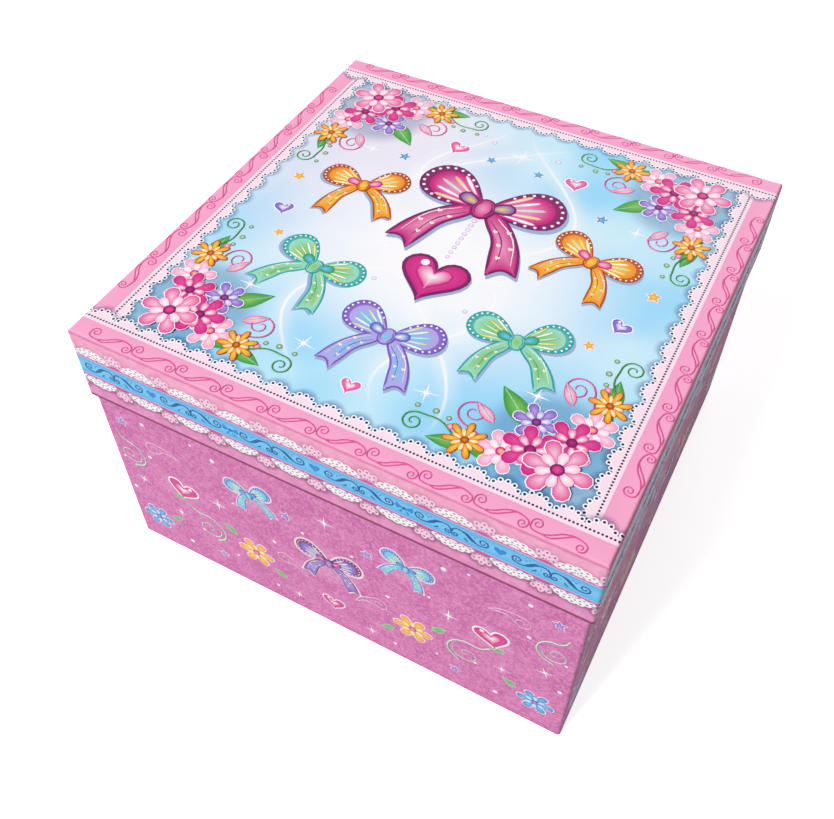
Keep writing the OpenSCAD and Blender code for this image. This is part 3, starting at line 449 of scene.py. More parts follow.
def mirror_glass():
    """Silvered glass with a faint haze."""
    f = Finish("mirror_glass", 0.02, Metallic=1.0)
    f.place()
    haze = f.noise(14.0, 4.0, seed=17.0)
    colour = f.mix(f.soft(haze, 0.3, 0.8), (0.86, 0.89, 0.9, 1), (0.8, 0.84, 0.86, 1))
    return f.dress(colour, f.soft(haze, 0.55, 0.9) * 0.06 + 0.015)


def held_ink(f):
    """The ink that each corner of a mesh holds."""
    return f.step("Attribute", {}, "Color", attribute_name="ink")


def printed_ink():
    """Ink with the paper's grain in it."""
    f = Finish("printed_ink", 0.42, Specular_IOR_Level=0.15)
    f.place()
    grain = f.noise(0.6, 3.0, seed=18.0)
    colour = f.tint(f.soft(grain, 0.3, 0.75) * 0.08, held_ink(f), (0.3, 0.2, 0.3, 1))
    return f.dress(colour, grain * 0.12 + 0.32)


def painted_doll():
    """Painted plastic with small brush marks."""
    f = Finish("painted_doll", 0.3, Subsurface_Weight=0.08, Coat_Weight=0.25)
    f.place()
    brush = f.noise(0.5, 3.0, stretch=(1.0, 1.0, 0.4), seed=23.0)
    colour = f.tint(f.soft(brush, 0.3, 0.75) * 0.08, held_ink(f), (0.4, 0.25, 0.3, 1))
    return f.dress(colour, brush * 0.14 + 0.22, brush, 0.01)


def pink_tulle():
    """Fine pink net with a little glitter."""
    f = Finish("pink_tulle", 0.6, Sheen_Weight=0.4, Alpha=0.86)
    x, y, z = f.place()
    pitch = 0.42
    across, along = abs((x + y) % pitch - pitch / 2), abs((x - y) % pitch - pitch / 2)
    thread = f.most(across, along) > pitch * 0.36
    glitter = f.noise(0.3, 0.0, seed=24.0) > 0.72
    cloth = f.mix(thread, ink(250, 176, 210), ink(255, 222, 236))
    return f.dress(f.mix(glitter, cloth, (1, 0.97, 1, 1)), 0.62 - glitter * 0.4, thread, 0.04)


PRINTED_INK = printed_ink()
ROSE_VELVET = velvet("rose_velvet", ink(204, 58, 124), ink(238, 112, 170))
PAINTED_DOLL = painted_doll()
PINK_TULLE = pink_tulle()
STEEL = metal("bright_steel", (196, 198, 202), 0.26, 0.5, (0.2, 1, 1))

# ---- modelling by hand ----

def shift(x, y, z=0.0):
    return Matrix.Translation((x, y, z))


def stretch(x, y, z=1.0):
    return Matrix.Diagonal((x, y, z, 1))


def spin(angle, axis="Z"):
    return Matrix.Rotation(angle, 4, axis)


def put(x, y, turn=0, size=1):
    """Puts a motif's copy at a place on its sheet, turned by some degrees and scaled."""
    return shift(x, y) @ spin(radians(turn)) @ Matrix.Scale(size, 4)


MIRROR = stretch(-1, 1)


def select_nothing():
    ops.object.select_all(action="DESELECT")


def edit(on=True):
    ops.object.mode_set(mode="EDIT" if on else "OBJECT")


def add(primitive, **sizes):
    """Adds a primitive, which alone is selected."""
    select_nothing()
    getattr(ops.mesh, "primitive_%s_add" % primitive)(**sizes)
    return bpy.context.object


def take(*pieces):
    """Selects these pieces alone, with the first one active."""
    select_nothing()
    for piece in pieces:
        piece.select_set(True)
    bpy.context.view_layer.objects.active = pieces[0]


def join(pieces):
    """Joins pieces into the first one."""
    take(*pieces)
    ops.object.join()
    return pieces[0]


def moved(piece, matrix):
    piece.data.transform(matrix)
    return piece


def copy_at(piece, matrix):
    """A copy with its own mesh, moved by the matrix, with its faces outwards if that mirrors it."""
    twin = piece.copy()
    twin.data = piece.data.copy()
    bpy.context.scene.collection.objects.link(twin)
    if matrix.determinant() < 0:
        twin.data.flip_normals()
    return moved(twin, matrix)


def forget(*pieces):
    """Removes pieces that were only patterns for copies."""
    for piece in pieces:
        bpy.data.objects.remove(piece)


def settle(piece, name, finish, body=None):
    """Gives a finished piece its name and finish, and lets it ride on its body."""
    piece.name = piece.data.name = name
    piece.data.materials.clear()
    piece.data.materials.append(finish)
    if body:
        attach(piece, body)


def dye(piece, ink_of):
    """Gives each corner its ink; ink_of takes a face and the number of its vertex there."""
    layer = piece.data.color_attributes.new("ink", "FLOAT_COLOR", "CORNER")
    for face in piece.data.polygons:
        for corner, vertex in zip(face.loop_indices, face.vertices):
            layer.data[corner].color = ink_of(face, vertex)
    return piece


def tinted(piece, colour):
    one = ink(colour)
    return dye(piece, lambda face, vertex: one)


def raised_shape(outline, inks, border=0.35, lift=0.0, height=0.1):
    """A raised shape in millimetres: a rim in one ink, and a fan from a second ink to a third.
    The inks are named in one string, and a single name stands for all three."""
    shape = add("circle", vertices=len(outline), radius=1, fill_type="NGON")
    for vertex, (x, y) in zip(shape.data.vertices, outline):
        vertex.co = (x, y, lift)
    edit()
    ops.mesh.duplicate()
    ops.mesh.flip_normals()
    ops.mesh.select_all(action="INVERT")
    ops.mesh.inset(thickness=border, use_even_offset=False)
    ops.transform.translate(value=(0, 0, height * 0.6))
    ops.mesh.poke(offset=height * 0.4)
    ops.mesh.select_all(action="SELECT")
    ops.mesh.remove_doubles(threshold=0.0005)
    edit(False)
    rise = [vertex.co.z - lift for vertex in shape.data.vertices]
    names = inks.split()
    rim, edge, core = map(ink, names if len(names) > 1 else names * 3)

    def ink_of(face, vertex):
        if min(rise[v] for v in face.vertices) < height * 0.3:
            return rim
        return core if rise[vertex] > height * 0.8 else edge

    return dye(shape, ink_of)


def raised_line(points, width, colour, lift=0.03):
    """A raised line through points of (x, y) or (x, y, share of the width), in millimetres."""
    select_nothing()
    ops.curve.primitive_bezier_curve_add(radius=1)
    curve = bpy.context.object.data
    curve.splines.clear()
    spline = curve.splines.new("BEZIER")
    spline.bezier_points.add(len(points) - 1)
    for knot, (x, y, *share) in zip(spline.bezier_points, points):
        knot.co = (x, y, 0)
        knot.radius = share[0] if share else 1.0
        knot.handle_left_type = knot.handle_right_type = "AUTO"
    spline.resolution_u = 4
    curve.bevel_depth = width / 2
    curve.bevel_resolution = 0
    curve.use_fill_caps = True
    ops.object.convert(target="MESH")
    return tinted(moved(bpy.context.object, shift(0, 0, lift) @ stretch(1, 1, 0.3)), colour)


# ---- outlines ----

def turns(count):
    return [2 * pi * i / count for i in range(count)]


def circle_points(radius, count, middle=(0.0, 0.0)):
    return [(middle[0] + radius * cos(a), middle[1] + radius * sin(a)) for a in turns(count)]


def petal_points(length, width, count=12, waist=0.75):
    """A petal from the origin along +x, widest past its middle."""
    shares = [(a, (1 - cos(a)) / 2) for a in turns(count)]
    return [(length * along, -width / 2 * sin(a) * along ** waist) for a, along in shares]


def leaf_points(length, width, count=14):
    """A leaf from the origin along +x, pointed at its tip."""
    found = []
    for i in range(count):
        t = i / count * 2
        along, side = (t, -1) if t <= 1 else (2 - t, 1)
        found.append((length * along, side * width / 2 * sin(pi * along ** 0.8)))
    return found


def heart_points(size, count=34):
    """A heart, without the points that crowd at its cleft and tip."""
    found = []
    for a in turns(count):
        x = -16 * sin(a) ** 3
        y = 13 * cos(a) - 5 * cos(2 * a) - 2 * cos(3 * a) - cos(4 * a)
        if not found or hypot(x - found[-1][0], y - found[-1][1]) > 1.6:
            found.append((x, y))
    return [(x * size / 34, y * size / 34) for x, y in found]


def smoothed(points):
    """An outline with its corners cut round, twice."""
    for _ in range(2):
        points = [
            (a[0] + (b[0] - a[0]) * share, a[1] + (b[1] - a[1]) * share)
            for a, b in zip(points, points[1:] + points[:1]) for share in (0.25, 0.75)
        ]
    return points


def star_points(tips, outer, inner):
    found = []
    for i in range(2 * tips):
        a, r = pi / 2 + pi * i / tips, inner if i % 2 else outer
        found.append((r * cos(a), r * sin(a)))
    return found


def spiral_points(middle, radius, start, winds, count):
    """Points that wind in from a circle's rim to its middle; negative winds run clockwise."""
    found = []
    for i in range(count):
        t = i / (count - 1)
        a = start + 2 * pi * winds * t
        r = radius * (1 - (1 - 0.18) * t)
        found.append((middle[0] + r * cos(a), middle[1] + r * sin(a), 1.0 - 0.35 * t))
    return found


# ---- motifs ----

def dot(radius, count, inks, border, middle=(0.0, 0.0)):
    return raised_shape(circle_points(radius, count, middle), inks, border)


def rosette(petals, length, width, inks, heart_inks="rust orange yellow"):
    """A flower of round petals in two rings, with a raised middle."""
    _, edge, core = inks.split()
    outer = raised_shape(petal_points(length, width), inks, 0.3)
    inner = petal_points(length * 0.62, width * 0.62, 10)
    inner = raised_shape(inner, "%s %s white" % (edge, core), 0.15, 0.12)
    parts = []
    for i in range(petals):
        turn = 360 * i / petals
        for ring, angle in ((outer, turn), (inner, turn + 180 / petals)):
            parts.append(copy_at(ring, put(0, 0, angle)))
    middle = circle_points(length * 0.2, 12)
    parts.append(raised_shape(middle, heart_inks, length * 0.06, 0.24))
    forget(outer, inner)
    return join(parts)


def bow(span, inks, lining, halo=False):
    """A ribbon bow on a pale halo or a shadow: loops with bright rays and pearls, tails, a knot."""
    rim, edge, core = inks.split()
    rays = ("white", "yellow", "mint")
    pale = "blush white white"
    half = span / 2

    def shape(points, paint, border, lift=0.0, height=0.1):
        """A raised shape whose outline and border are in shares of half the bow's span."""
        points = [(half * x, half * y) for x, y in points]
        return raised_shape(points, paint, half * border, lift, height)

    loop = [
        shape(petal_points(1, 0.9, 30, 0.5), "%s %s %s" % (rim, rim, edge), 0.035, 0.04),
        shape(petal_points(0.86, 0.68, 26, 0.55), "%s %s %s" % (edge, edge, core), 0.03, 0.17),
        shape(petal_points(0.4, 0.3, 14, 0.6), lining, 0.03, 0.4),
    ]
    for number, lean in enumerate((-23, -12, 0, 12, 23)):
        ray = petal_points(0.76 - abs(lean) * 0.004, 0.11, 12, 1.4)
        ray = shape(ray, "%s %s white" % (core, rays[number % 3]), 0.012, 0.29)
        loop.append(moved(ray, put(0, 0, lean)))
    for x, y in petal_points(0.9, 0.78, 24, 0.52)[5:20]:
        pearl = circle_points(0.022, 6, (x + 0.045, y))
        loop.append(shape(pearl, "white", 0.005, 0.15, 0.06))
    strip = smoothed([
        (0, 0.03), (0.1, -0.2), (0.32, -0.44), (0.4, -0.74), (0.5, -1.04), (0.52, -1.02),
        (0.64, -0.86), (0.82, -0.92), (0.84, -0.9), (0.72, -0.52), (0.5, -0.2), (0.24, 0.03),
    ])
    tail = [shape(strip, inks, 0.035, 0.04)]
    if halo:
        wide = [(x - 0.06, y) for x, y in petal_points(1.12, 1.06, 24, 0.45)]
        loop.append(shape(wide, pale, 0.06, height=0.03))
        wide = [(0.42 + (x - 0.42) * 1.16, y * 1.1 + 0.05) for x, y in strip]
        tail.append(shape(wide, pale, 0.05, height=0.03))
    for paint, run in (
        (rim, ((0.16, -0.14, 0.4), (0.42, -0.4, 1), (0.54, -0.78, 0.4))),
        ("white", ((0.24, -0.08, 0.4), (0.54, -0.34, 1), (0.7, -0.76, 0.4))),
    ):
        run = [(half * x, half * y, share) for x, y, share in run]
        tail.append(raised_line(run, half * 0.022, paint, lift=0.12))
    for x, y in ((0.3, -0.3), (0.43, -0.5), (0.51, -0.7), (0.58, -0.5), (0.45, -0.25)):
        speck = shape(heart_points(0.075, 10), "white white yellow", 0.006, 0.1)
        tail.append(moved(speck, shift(half * x, half * y)))
    loop, tail = join(loop), join(tail)
    both = ((put(0, 0, 24), shift(0, 0)), (put(0, 0, 156), MIRROR))
    parts = []
    for turn, side in both:
        parts += [copy_at(loop, turn), copy_at(tail, side)]
    forget(loop, tail)
    if not halo:
        drop = shift(half * 0.035, -half * 0.05)
        loop = shape(petal_points(1.01, 0.92, 30, 0.5), "shade", 0.035, height=0.03)
        tail = shape(strip, "shade", 0.035, height=0.03)
        for turn, side in both:
            parts += [copy_at(loop, drop @ turn), copy_at(tail, drop @ side)]
        forget(loop, tail)
    knot = [(x * 0.9, y * 1.15) for x, y in circle_points(0.17, 18)]
    parts.append(shape(knot, inks, 0.03, 0.42, 0.2))
    for x in (-0.06, 0.06):
        fold = [(half * x, half * 0.12, 0.5), (half * x * 1.7, 0), (half * x, -half * 0.12, 0.5)]
        parts.append(raised_line(fold, half * 0.022, rim, lift=0.62))
    return join(parts)


def heart(size, inks):
    """A heart with a bright inner heart and a small highlight; a big one casts a shadow."""
    _, edge, core = inks.split()
    glint = circle_points(size * 0.06, 8, (-size * 0.2, size * 0.2))
    inner = heart_points(size * 0.56, 18)
    parts = [
        raised_shape(heart_points(size), inks, size * 0.05, 0.04),
        raised_shape(inner, "%s %s white" % (edge, core), size * 0.03, 0.13),
        raised_shape(glint, "white", 0.05, 0.2),
    ]
    if size > 15:
        cast = [(x + size * 0.03, y - size * 0.04) for x, y in heart_points(size)]
        parts.append(raised_shape(cast, "shade", size * 0.05, height=0.03))
    return join(parts)


def star(size, inks):
    """A plump five-pointed star."""
    return raised_shape(star_points(5, size, size * 0.5), inks, size * 0.12)


def sparkle(size):
    """Eight thin rays of light, four long and four short."""
    rays = raised_shape(star_points(4, size, size * 0.1), "white", size * 0.03, height=0.04)
    short_rays = copy_at(rays, put(0, 0, 45, 0.55))
    middle = raised_shape(circle_points(size * 0.16, 10), "white", 0.05, 0.02, 0.04)
    return join([rays, short_rays, middle])


def leaf(length, width, inks):
    """A leaf with a pale vein."""
    blade = raised_shape(leaf_points(length, width), inks, 0.25)
    vein = [(0, 0), (length * 0.5, 0.1), (length * 0.92, 0)]
    return join([blade, raised_line(vein, 0.28, "mint", lift=0.12)])


def tendril(length, colour, side=1):
    """A curling stem with a spiral end and three berries."""
    stem = [(0, 0, 1.2), (length * 0.3, side * length * 0.2), (length * 0.62, side * length * 0.22)]
    middle = (length * 0.72, side * length * 0.02)
    curl = spiral_points(middle, length * 0.2, side * pi * 0.5, -side * 1.5, 14)
    parts = [raised_line(stem + curl, 0.5, colour)]
    for at, up, r in ((0.2, 0.3, 0.05), (0.45, 0.36, 0.06), (0.78, 0.36, 0.05)):
        at = (length * at, side * length * up)
        parts.append(dot(length * r, 9, "%s %s blush" % (colour, colour), 0.12, at))
    return join(parts)


def scroll():
    """One length of running scroll: two spirals back to back, joined by a double waving line."""
    upper = [(3.6, -1.5), (5.6, -0.75), (7.2, 0.35), (8.7, 1.0), (10.4, 1.3), (11.7, 1.1)]
    lower = [(3.6, -1.6), (5.2, -1.75), (6.9, -0.95), (8.7, 0.25), (10.3, 1.15), (11.7, 1.1)]
    out = [(0.55, -0.95), (1.7, -1.45), (3.6, -1.55)]
    into = [(11.7, 1.1), (12.8, 0.75), (13.75, 0.0), (13.75, -0.9)]
    right = spiral_points((1.75, 0.55), 1.5, pi * 1.05, -1.35, 15)
    left = spiral_points((12.45, -0.85), 1.3, 0.0, -1.3, 14)
    runs = (right[::-1] + out, upper, lower, into + left[1:])
    return join([raised_line(run, 0.4, "scroll") for run in runs])


def ribbon_scroll():
    """Half of the scrolls between two charms on the ribbon, from a charm to the middle."""
    blue = "ribbon_blue"
    spiral = spiral_points((4.35, 0.15), 1.5, -pi * 0.5, -1.35, 17)[::-1]
    wave = [(6.0, -1.35), (7.7, -0.45), (9.2, 0.95), (10.8, 1.5), (12.1, 1.0)]
    small = spiral_points((11.7, -0.95), 0.95, 0.25, -1.2, 11)
    swell = [(6.0, -1.3, 0.6), (7.3, -0.25, 1.6), (8.8, 1.1, 1.5), (10.8, 1.5, 0.6)]
    parts = [
        raised_line(spiral + wave + small, 0.5, blue),
        raised_line(swell, 0.45, blue),
        raised_line([(8.1, -1.9, 0.6), (9.0, -1.3, 1.2), (9.1, -0.8, 0.5)], 0.45, blue),
    ]
    for x, y, r in ((6.6, 1.0, 0.3), (7.4, 1.7, 0.25), (6.0, 1.8, 0.22), (10.3, -0.1, 0.2)):
        parts.append(dot(r, 8, "charm_blue", 0.05, (x, y)))
    return join(parts)


# ---- the print ----

ON_LID = Matrix.Scale(MM, 4) @ shift(0, LID_MID_Y, LID_TOP)


def on_wall(quarter, level, half_x, half_y, mid_y=0.0):
    """Lays a sheet on a wall: quarter 0 is the front, 1 the right, 2 the back, 3 the left."""
    out = shift(0, -(half_x if quarter % 2 else half_y), level)
    turn = spin(pi / 2 * quarter)
    return Matrix.Scale(MM, 4) @ shift(0, mid_y) @ turn @ out @ spin(pi / 2, "X")


def stamp(name, placed, body):
    """Joins copies of motifs, each given as (motif, matrix), into one piece of the print."""
    thin = stretch(1, 1, RELIEF)
    made = join([copy_at(motif, matrix @ thin) for motif, matrix in placed])
    forget(*dict.fromkeys(motif for motif, _ in placed))
    settle(made, name, PRINTED_INK, body)


def lid_scrollwork():
    """Running scrolls on the pink bands of the lid's top."""
    unit = scroll()
    placed = []
    sides = ((0, LID_HALF_X, LID_HALF_Y, 1.0), (1, LID_HALF_Y, LID_HALF_X, 12.5))
    for quarter, reach, middle, inset in sides:
        count = int((reach - inset) * 2 / SCROLL_PITCH)
        for turn in (quarter, quarter + 2):
            for i in range(count):
                at = shift((i - count / 2) * SCROLL_PITCH, -middle + 2.75)
                placed.append((unit, ON_LID @ spin(pi / 2 * turn) @ at))
    stamp("lid_scrollwork", placed, "lid")


def ribbon_print():
    """Scrolls on the blue ribbon round the lid's skirt, with hearts and small bows between."""
    half = ribbon_scroll()
    wing = [(0, 0), (2.2, 1.5), (2.6, 0.3), (2.1, -0.9)]
    tail = [(0, 0), (0.9, -2.2), (1.7, -1.9)]
    small_bow = [
        raised_shape([(x * side, y) for x, y in shape][::side], "charm_blue", 0.15)
        for shape in (wing, tail) for side in (1, -1)
    ]
    small_bow.append(dot(0.6, 10, "ribbon_blue", 0.1))
    charms = raised_shape(heart_points(3.5, 20), "charm_blue", 0.2), join(small_bow)
    placed = []
    for quarter in range(4):
        wall = on_wall(quarter, LID_TOP - RIBBON_MID, LID_HALF_X, LID_HALF_Y, LID_MID_Y)
        for i in range(-2, 3):
            at = wall @ shift(i * CHARM_PITCH, 0)
            placed += [(charms[i % 2], at), (half, at), (half, at @ MIRROR)]
        placed.append((half, wall @ shift(3 * CHARM_PITCH, 0) @ MIRROR))
        placed.append((half, wall @ shift(-3 * CHARM_PITCH, 0)))
    stamp("ribbon_print", placed, "lid")


def lid_picture():
    """The picture on the lid: bows and hearts, stars between, and a posy in each corner."""
    motifs = {
        "big_bow": bow(50, "plum magenta pink", "plum violet yellow"),
        "orange_bow": bow(31, "rust orange yellow", "magenta hot_pink pale_pink"),
        "blue_bow": bow(32, "violet lavender sky", "violet blue white"),
        "teal_bow": bow(32, "teal mint leaf", "green teal sky"),
        "big_heart": heart(22, "plum magenta hot_pink"),
        "heart": heart(8, "white hot_pink pink"),
        "violet_heart": heart(7, "white violet lavender"),
        "pink_rose": rosette(6, 9.4, 7.2, "white hot_pink pale_pink", "plum magenta hot_pink"),
        "deep_rose": rosette(6, 8.6, 6.6, "pale_pink magenta hot_pink", "plum plum magenta"),
        "blush_rose": rosette(6, 7.4, 5.8, "white pink blush", "magenta hot_pink yellow"),
        "daisy": rosette(7, 7.6, 3.8, "rust orange yellow", "rust rust orange"),
        "violet_rose": rosette(6, 6.6, 5.0, "white violet lavender", "plum plum violet"),
        "leaf": leaf(13, 5.4, "green green leaf"),
        "pink_leaf": leaf(8, 3.2, "hot_pink pink blush"),
        "tendril": tendril(21, "hot_pink"),
        "left_tendril": tendril(21, "hot_pink", -1),
        "curl": tendril(15, "green"),
        "left_curl": tendril(15, "green", -1),
        "gold_star": star(2.6, "white orange yellow"),
        "blue_star": star(2.4, "white blue sky"),
        "sparkle": sparkle(4.2),
        "pearl": dot(0.9, 10, "lavender blush white", 0.2),
    }
    centred = (
        ("big_bow", (0, 21)), ("blue_bow", (0, -38)), ("big_heart", (0, -12)),
        ("sparkle", (0, 50, 0, 1.1)), ("heart", (0, -57, 0, 0.8)),
        ("pearl", *((0, 15 - 2.2 * i, 0, 1 - 0.03 * i) for i in range(9))),
    )
    mirrored = (
        ("orange_bow", (37, 14, -14, 0.95)), ("teal_bow", (31, -24, 12, 0.95)),
        ("heart", (20, 45, 12)), ("violet_heart", (53, -6, -18)), ("gold_star", (57, 9, 10)),
        ("blue_star", (33, 33)), ("gold_star", (48, -16, 30, 0.8)), ("blue_star", (8, 44, 12, 0.9)),
        ("sparkle", (17, -6), (44, 32, 0, 0.8), (18, -50, 10, 0.9), (43, -38, 0, 0.9)),
        ("pearl", (11, 53), (15, 55, 0, 0.7), (14, -20, 0, 0.8), (17, -24, 0, 0.6),
         (50, 20, 0, 0.7)),
    )
    # a corner's posy, level by level
    posy = (
        (0, (("leaf", (46, 59, 172), (60, 45, -88), (45, 48, -140, 1.1), (34, 60, 168, 0.8),
              (61, 34, -98, 0.8)),)),
        (1, (("curl", (30, 59, 176)), ("left_curl", (61, 30, -86)),
             ("left_tendril", (46, 54, 196)), ("tendril", (55, 46, -106)),
             ("pink_leaf", (37, 51, 214), (52, 37, -124)))),
        (2, (("blush_rose", (42, 58, 0, 0.9), (59, 42, 20, 0.9)),
             ("violet_rose", (46, 46, 0, 0.95)))),
        (3, (("daisy", (33, 59, 10, 0.75), (60, 33, 25, 0.75)),)),
        (4, (("deep_rose", (48, 54.5, 10, 0.9), (56, 48, 40, 0.85)),)),
        (6, (("pink_rose", (56, 57, 0, 0.95)),)),
    )
    flips = [stretch(a, b) for a in (1, -1) for b in (1, -1)]
    placed = []
    for level, sides, layout in (
        (0, flips[:1], centred), (0, flips[::2], mirrored), *((n, flips, row) for n, row in posy),
    ):
        for key, *places in layout:
            for place in places:
                here = shift(0, 0, 0.09 * level) @ put(*place)
                placed += [(motifs[key], ON_LID @ side @ here) for side in sides]
    stamp("lid_picture", placed, "lid")


def case_motifs():
    """Bows, hearts, rosettes and sparkles on each wall, laid out evenly from its middle."""
    curl = [(0, 0), (3, 2.4), (7, 3.2)] + spiral_points((9.5, 0.4), 3.0, pi * 0.55, -1.4, 16)
    vine = [(0, -9), (-3.5, -5), (-3, 0), (1, 3.4), (6, 3.6), (9, 6.4)]
    coil = spiral_points((2.2, -3.2), 4.6, pi * 0.9, 1.25, 16)
    motifs = {
        "bow": bow(23, "plum violet lavender", "plum magenta pink", True),
        "teal_bow": bow(17, "blue sky mint", "violet blue sky", True),
        "heart": heart(11, "white magenta hot_pink"),
        "rose": rosette(6, 6.6, 5.0, "white orange yellow", "magenta hot_pink pink"),
        "blue_rose": rosette(6, 6.0, 4.7, "white blue sky", "violet violet lavender"),
        "star": star(2.3, "white violet lavender"),
        "sparkle": sparkle(4.0),
        "leaf": leaf(7.0, 3.2, "mint leaf green"),
        "dot": dot(0.7, 10, "white", 0.1),
        "curl": join([
            raised_line(curl, 0.34, "blush"),
            raised_line([(1, 0.2), (4, 1.2), (6.5, 0.6), (7.6, -0.9)], 0.28, "blush"),
        ]),
        "vine": join([raised_line(vine, 0.8, "pale_green"), raised_line(coil, 0.6, "pale_green")]),
    }
    layout = (
        ("bow", (0, 37)), ("sparkle", (0, 58, 0, 0.9)), ("heart", (0, 14, 0, 0.8)),
        ("rose", (27, 22)), ("teal_bow", (25, 54, -12)), ("heart", (51, 39, 14, 1.1)),
        ("blue_rose", (66, 14)), ("star", (13, 52, 12), (41, 10, -10), (68, 62, 8)),
        ("sparkle", (38, 40, 0, 0.9), (13, 8, 10, 0.7), (55, 24, 0, 0.7), (67, 34, 20, 0.8)),
        ("curl", (8, 22, 28), (49, 54)), ("vine", (42, 26), (66, 48, 20, 0.9)),
        ("leaf", (33, 27, 40, 0.9), (21, 17, 210, 0.8), (60, 17, 150, 0.8), (51, 33, 20, 0.7)),
        ("dot", (19, 34), (36, 63, 0, 1.2), (8, 47, 0, 0.8), (32, 45, 0, 0.7), (61, 49),
         (47, 20, 0, 0.8), (72, 27, 0, 1.1), (21, 7, 0, 0.9), (54, 8, 0, 1.2), (43, 66, 0, 0.7),
         (60, 65), (72, 43, 0, 0.7), (35, 14, 0, 0.7)),
    )
    placed = []
    for quarter in range(4):
        wall = on_wall(quarter, 0.0, CASE_HALF, CASE_HALF)
        for key, *places in layout:
            for x, y, *how in places:
                here = put(x, y, *how)
                for side in (1, -1) if x else (1,):
                    off = (hypot(side * x - a, y - b) - r for a, b, r in BACK_METAL)
                    if quarter != 2 or min(off) >= 0:
                        placed.append((motifs[key], wall @ (MIRROR @ here if side < 0 else here)))
    stamp("case_motifs", placed, "case")


# ---- velvet rolls and pads ----

def stuff(roll, pressure, cap):
    """Blows a closed form up as stuffed cloth, with each point within the cap of where it was."""
    start = [vertex.co.copy() for vertex in roll.data.vertices]
    cloth = roll.modifiers.new("stuffing", "CLOTH")
    cloth.settings.use_pressure = True
    cloth.settings.uniform_pressure_force = pressure
    cloth.settings.effector_weights.gravity = 0
    cloth.settings.quality = 6
    cloth.settings.tension_stiffness = 15
    cloth.settings.bending_stiffness = 0.4
    cloth.collision_settings.use_collision = False
    scene = bpy.context.scene
    for step in range(1, 21):
        scene.frame_set(step)
    take(roll)
    ops.object.modifier_apply(modifier="stuffing")
    scene.frame_set(1)
    for vertex, before in zip(roll.data.vertices, start):
        out = vertex.co - before
        if out.length > cap:
            vertex.co = before + out * (cap / out.length)


def velvet_roll(length, radius, seed):
    """A foam roll in velvet along x, round the origin, in metres at the cloth's scale."""
    roll = add("cylinder", vertices=48, radius=radius * 0.95, depth=length * 0.985,
               rotation=(0, pi / 2, 0))
    ops.object.transform_apply(rotation=True)
    edit()
    ops.mesh.select_all(action="DESELECT")
    edit(False)
    for face in roll.data.polygons:
        face.select = abs(face.normal.x) > 0.9
    edit()
    ops.mesh.bevel(offset=radius * 0.28, segments=4, affect="EDGES")
    edit(False)
    roll.data.remesh_voxel_size = 0.0055
    ops.object.voxel_remesh()
    stuff(roll, 4.0, radius * 0.05)
    for vertex in roll.data.vertices:
        x, y, z = vertex.co
        turn = atan2(y, z)
        spot = Vector((x * 9.0 + seed * 7.3, turn * 1.1 + seed, 0.0))
        crease = noise.noise(spot) * 0.6 + noise.noise(spot * 2.7) * 0.4
        from_end = max(1.0 - abs(x) / (length / 2), 0.0)
        gather = sin(turn * 17 + 2.0 * noise.noise(spot)) * exp(-from_end / 0.05)
        out = Vector((0, y, z)).normalized() * radius * (0.02 * crease + 0.018 * gather)
        vertex.co += out
    return roll


def ring_rolls():
    """Seven velvet rolls on their shelf, pressed flat where they rest and where they touch."""
    low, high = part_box("ring_rolls")
    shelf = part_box("ring_shelf")[1].z
    length, radius = high.x - low.x, (high.z - low.z) / 2
    count = 7
    pitch = (high.y - low.y - 2 * radius) / (count - 1)
    reach, side = length / 2 + 0.2 * MM, pitch / 2 - 0.02 * MM
    big = length * CLOTH_SCALE, radius * CLOTH_SCALE
    patterns = [velvet_roll(*big, seed) for seed in (1.0, 2.0)]
    placed = []
    for i in range(count):
        turn = spin(pi * (i // 2 % 2)) @ spin(0.9 * i, "X")
        roll = copy_at(patterns[i % 2], Matrix.Scale(1 / CLOTH_SCALE, 4) @ turn)
        at = Vector(((low.x + high.x) / 2, low.y + radius + i * pitch, low.z + radius))
        for vertex in roll.data.vertices:
            x, y, z = vertex.co
            y = copysign(min(abs(y), side), y)
            z = max(z + 0.1 * MM, shelf + 0.02 * MM - at.z)
            vertex.co = at + Vector((max(-reach, min(reach, x)), y, z))
        placed.append(roll)
    forget(*patterns)
    rolls = join(placed)
    ops.object.shade_smooth()
    settle(rolls, "velvet_ring_rolls", ROSE_VELVET, "case")
    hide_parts("ring_rolls")


def velvet_pad(name, low, high, seed):
    """A thin velvet pad on the floor of a bay: crowned, with rounded edges and soft dents."""
    size, middle = high - low, (low + high) / 2
    pad = add("grid", x_subdivisions=64, y_subdivisions=44, size=2)
    edit()
    ops.mesh.extrude_region_move(TRANSFORM_OT_translate={"value": (0, 0, 1)})
    ops.mesh.select_all(action="SELECT")
    ops.mesh.normals_make_consistent(inside=False)
    edit(False)
    edge_radius, sunk = 1.1 * MM, 0.28 * MM
    for vertex in pad.data.vertices:
        u, v, w = vertex.co
        edge = min((1 - abs(u)) * size.x / 2, (1 - abs(v)) * size.y / 2)
        roll_over = sqrt(max(0.0, 1 - max(0.0, 1 - edge / edge_radius) ** 2))
        crown = (1 - u ** 4) * (1 - v ** 4)
        spot = Vector((u * 3 + seed, v * 2.2 - seed, 0.0))
        dent = noise.noise(spot) * 0.18 + noise.noise(spot * 2.6) * 0.07
        pull = 1 - 0.012 * (1 - roll_over)
        top = size.z * (0.35 + 0.65 * roll_over) + (0.45 * crown + dent * crown) * MM
        x, y = middle.x + u * size.x / 2 * pull, middle.y + v * size.y / 2 * pull
        vertex.co = (x, y, low.z - sunk + (top + sunk) * w)
    ops.object.shade_smooth()
    settle(pad, name, ROSE_VELVET, "case")
    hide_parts("floor_mat")


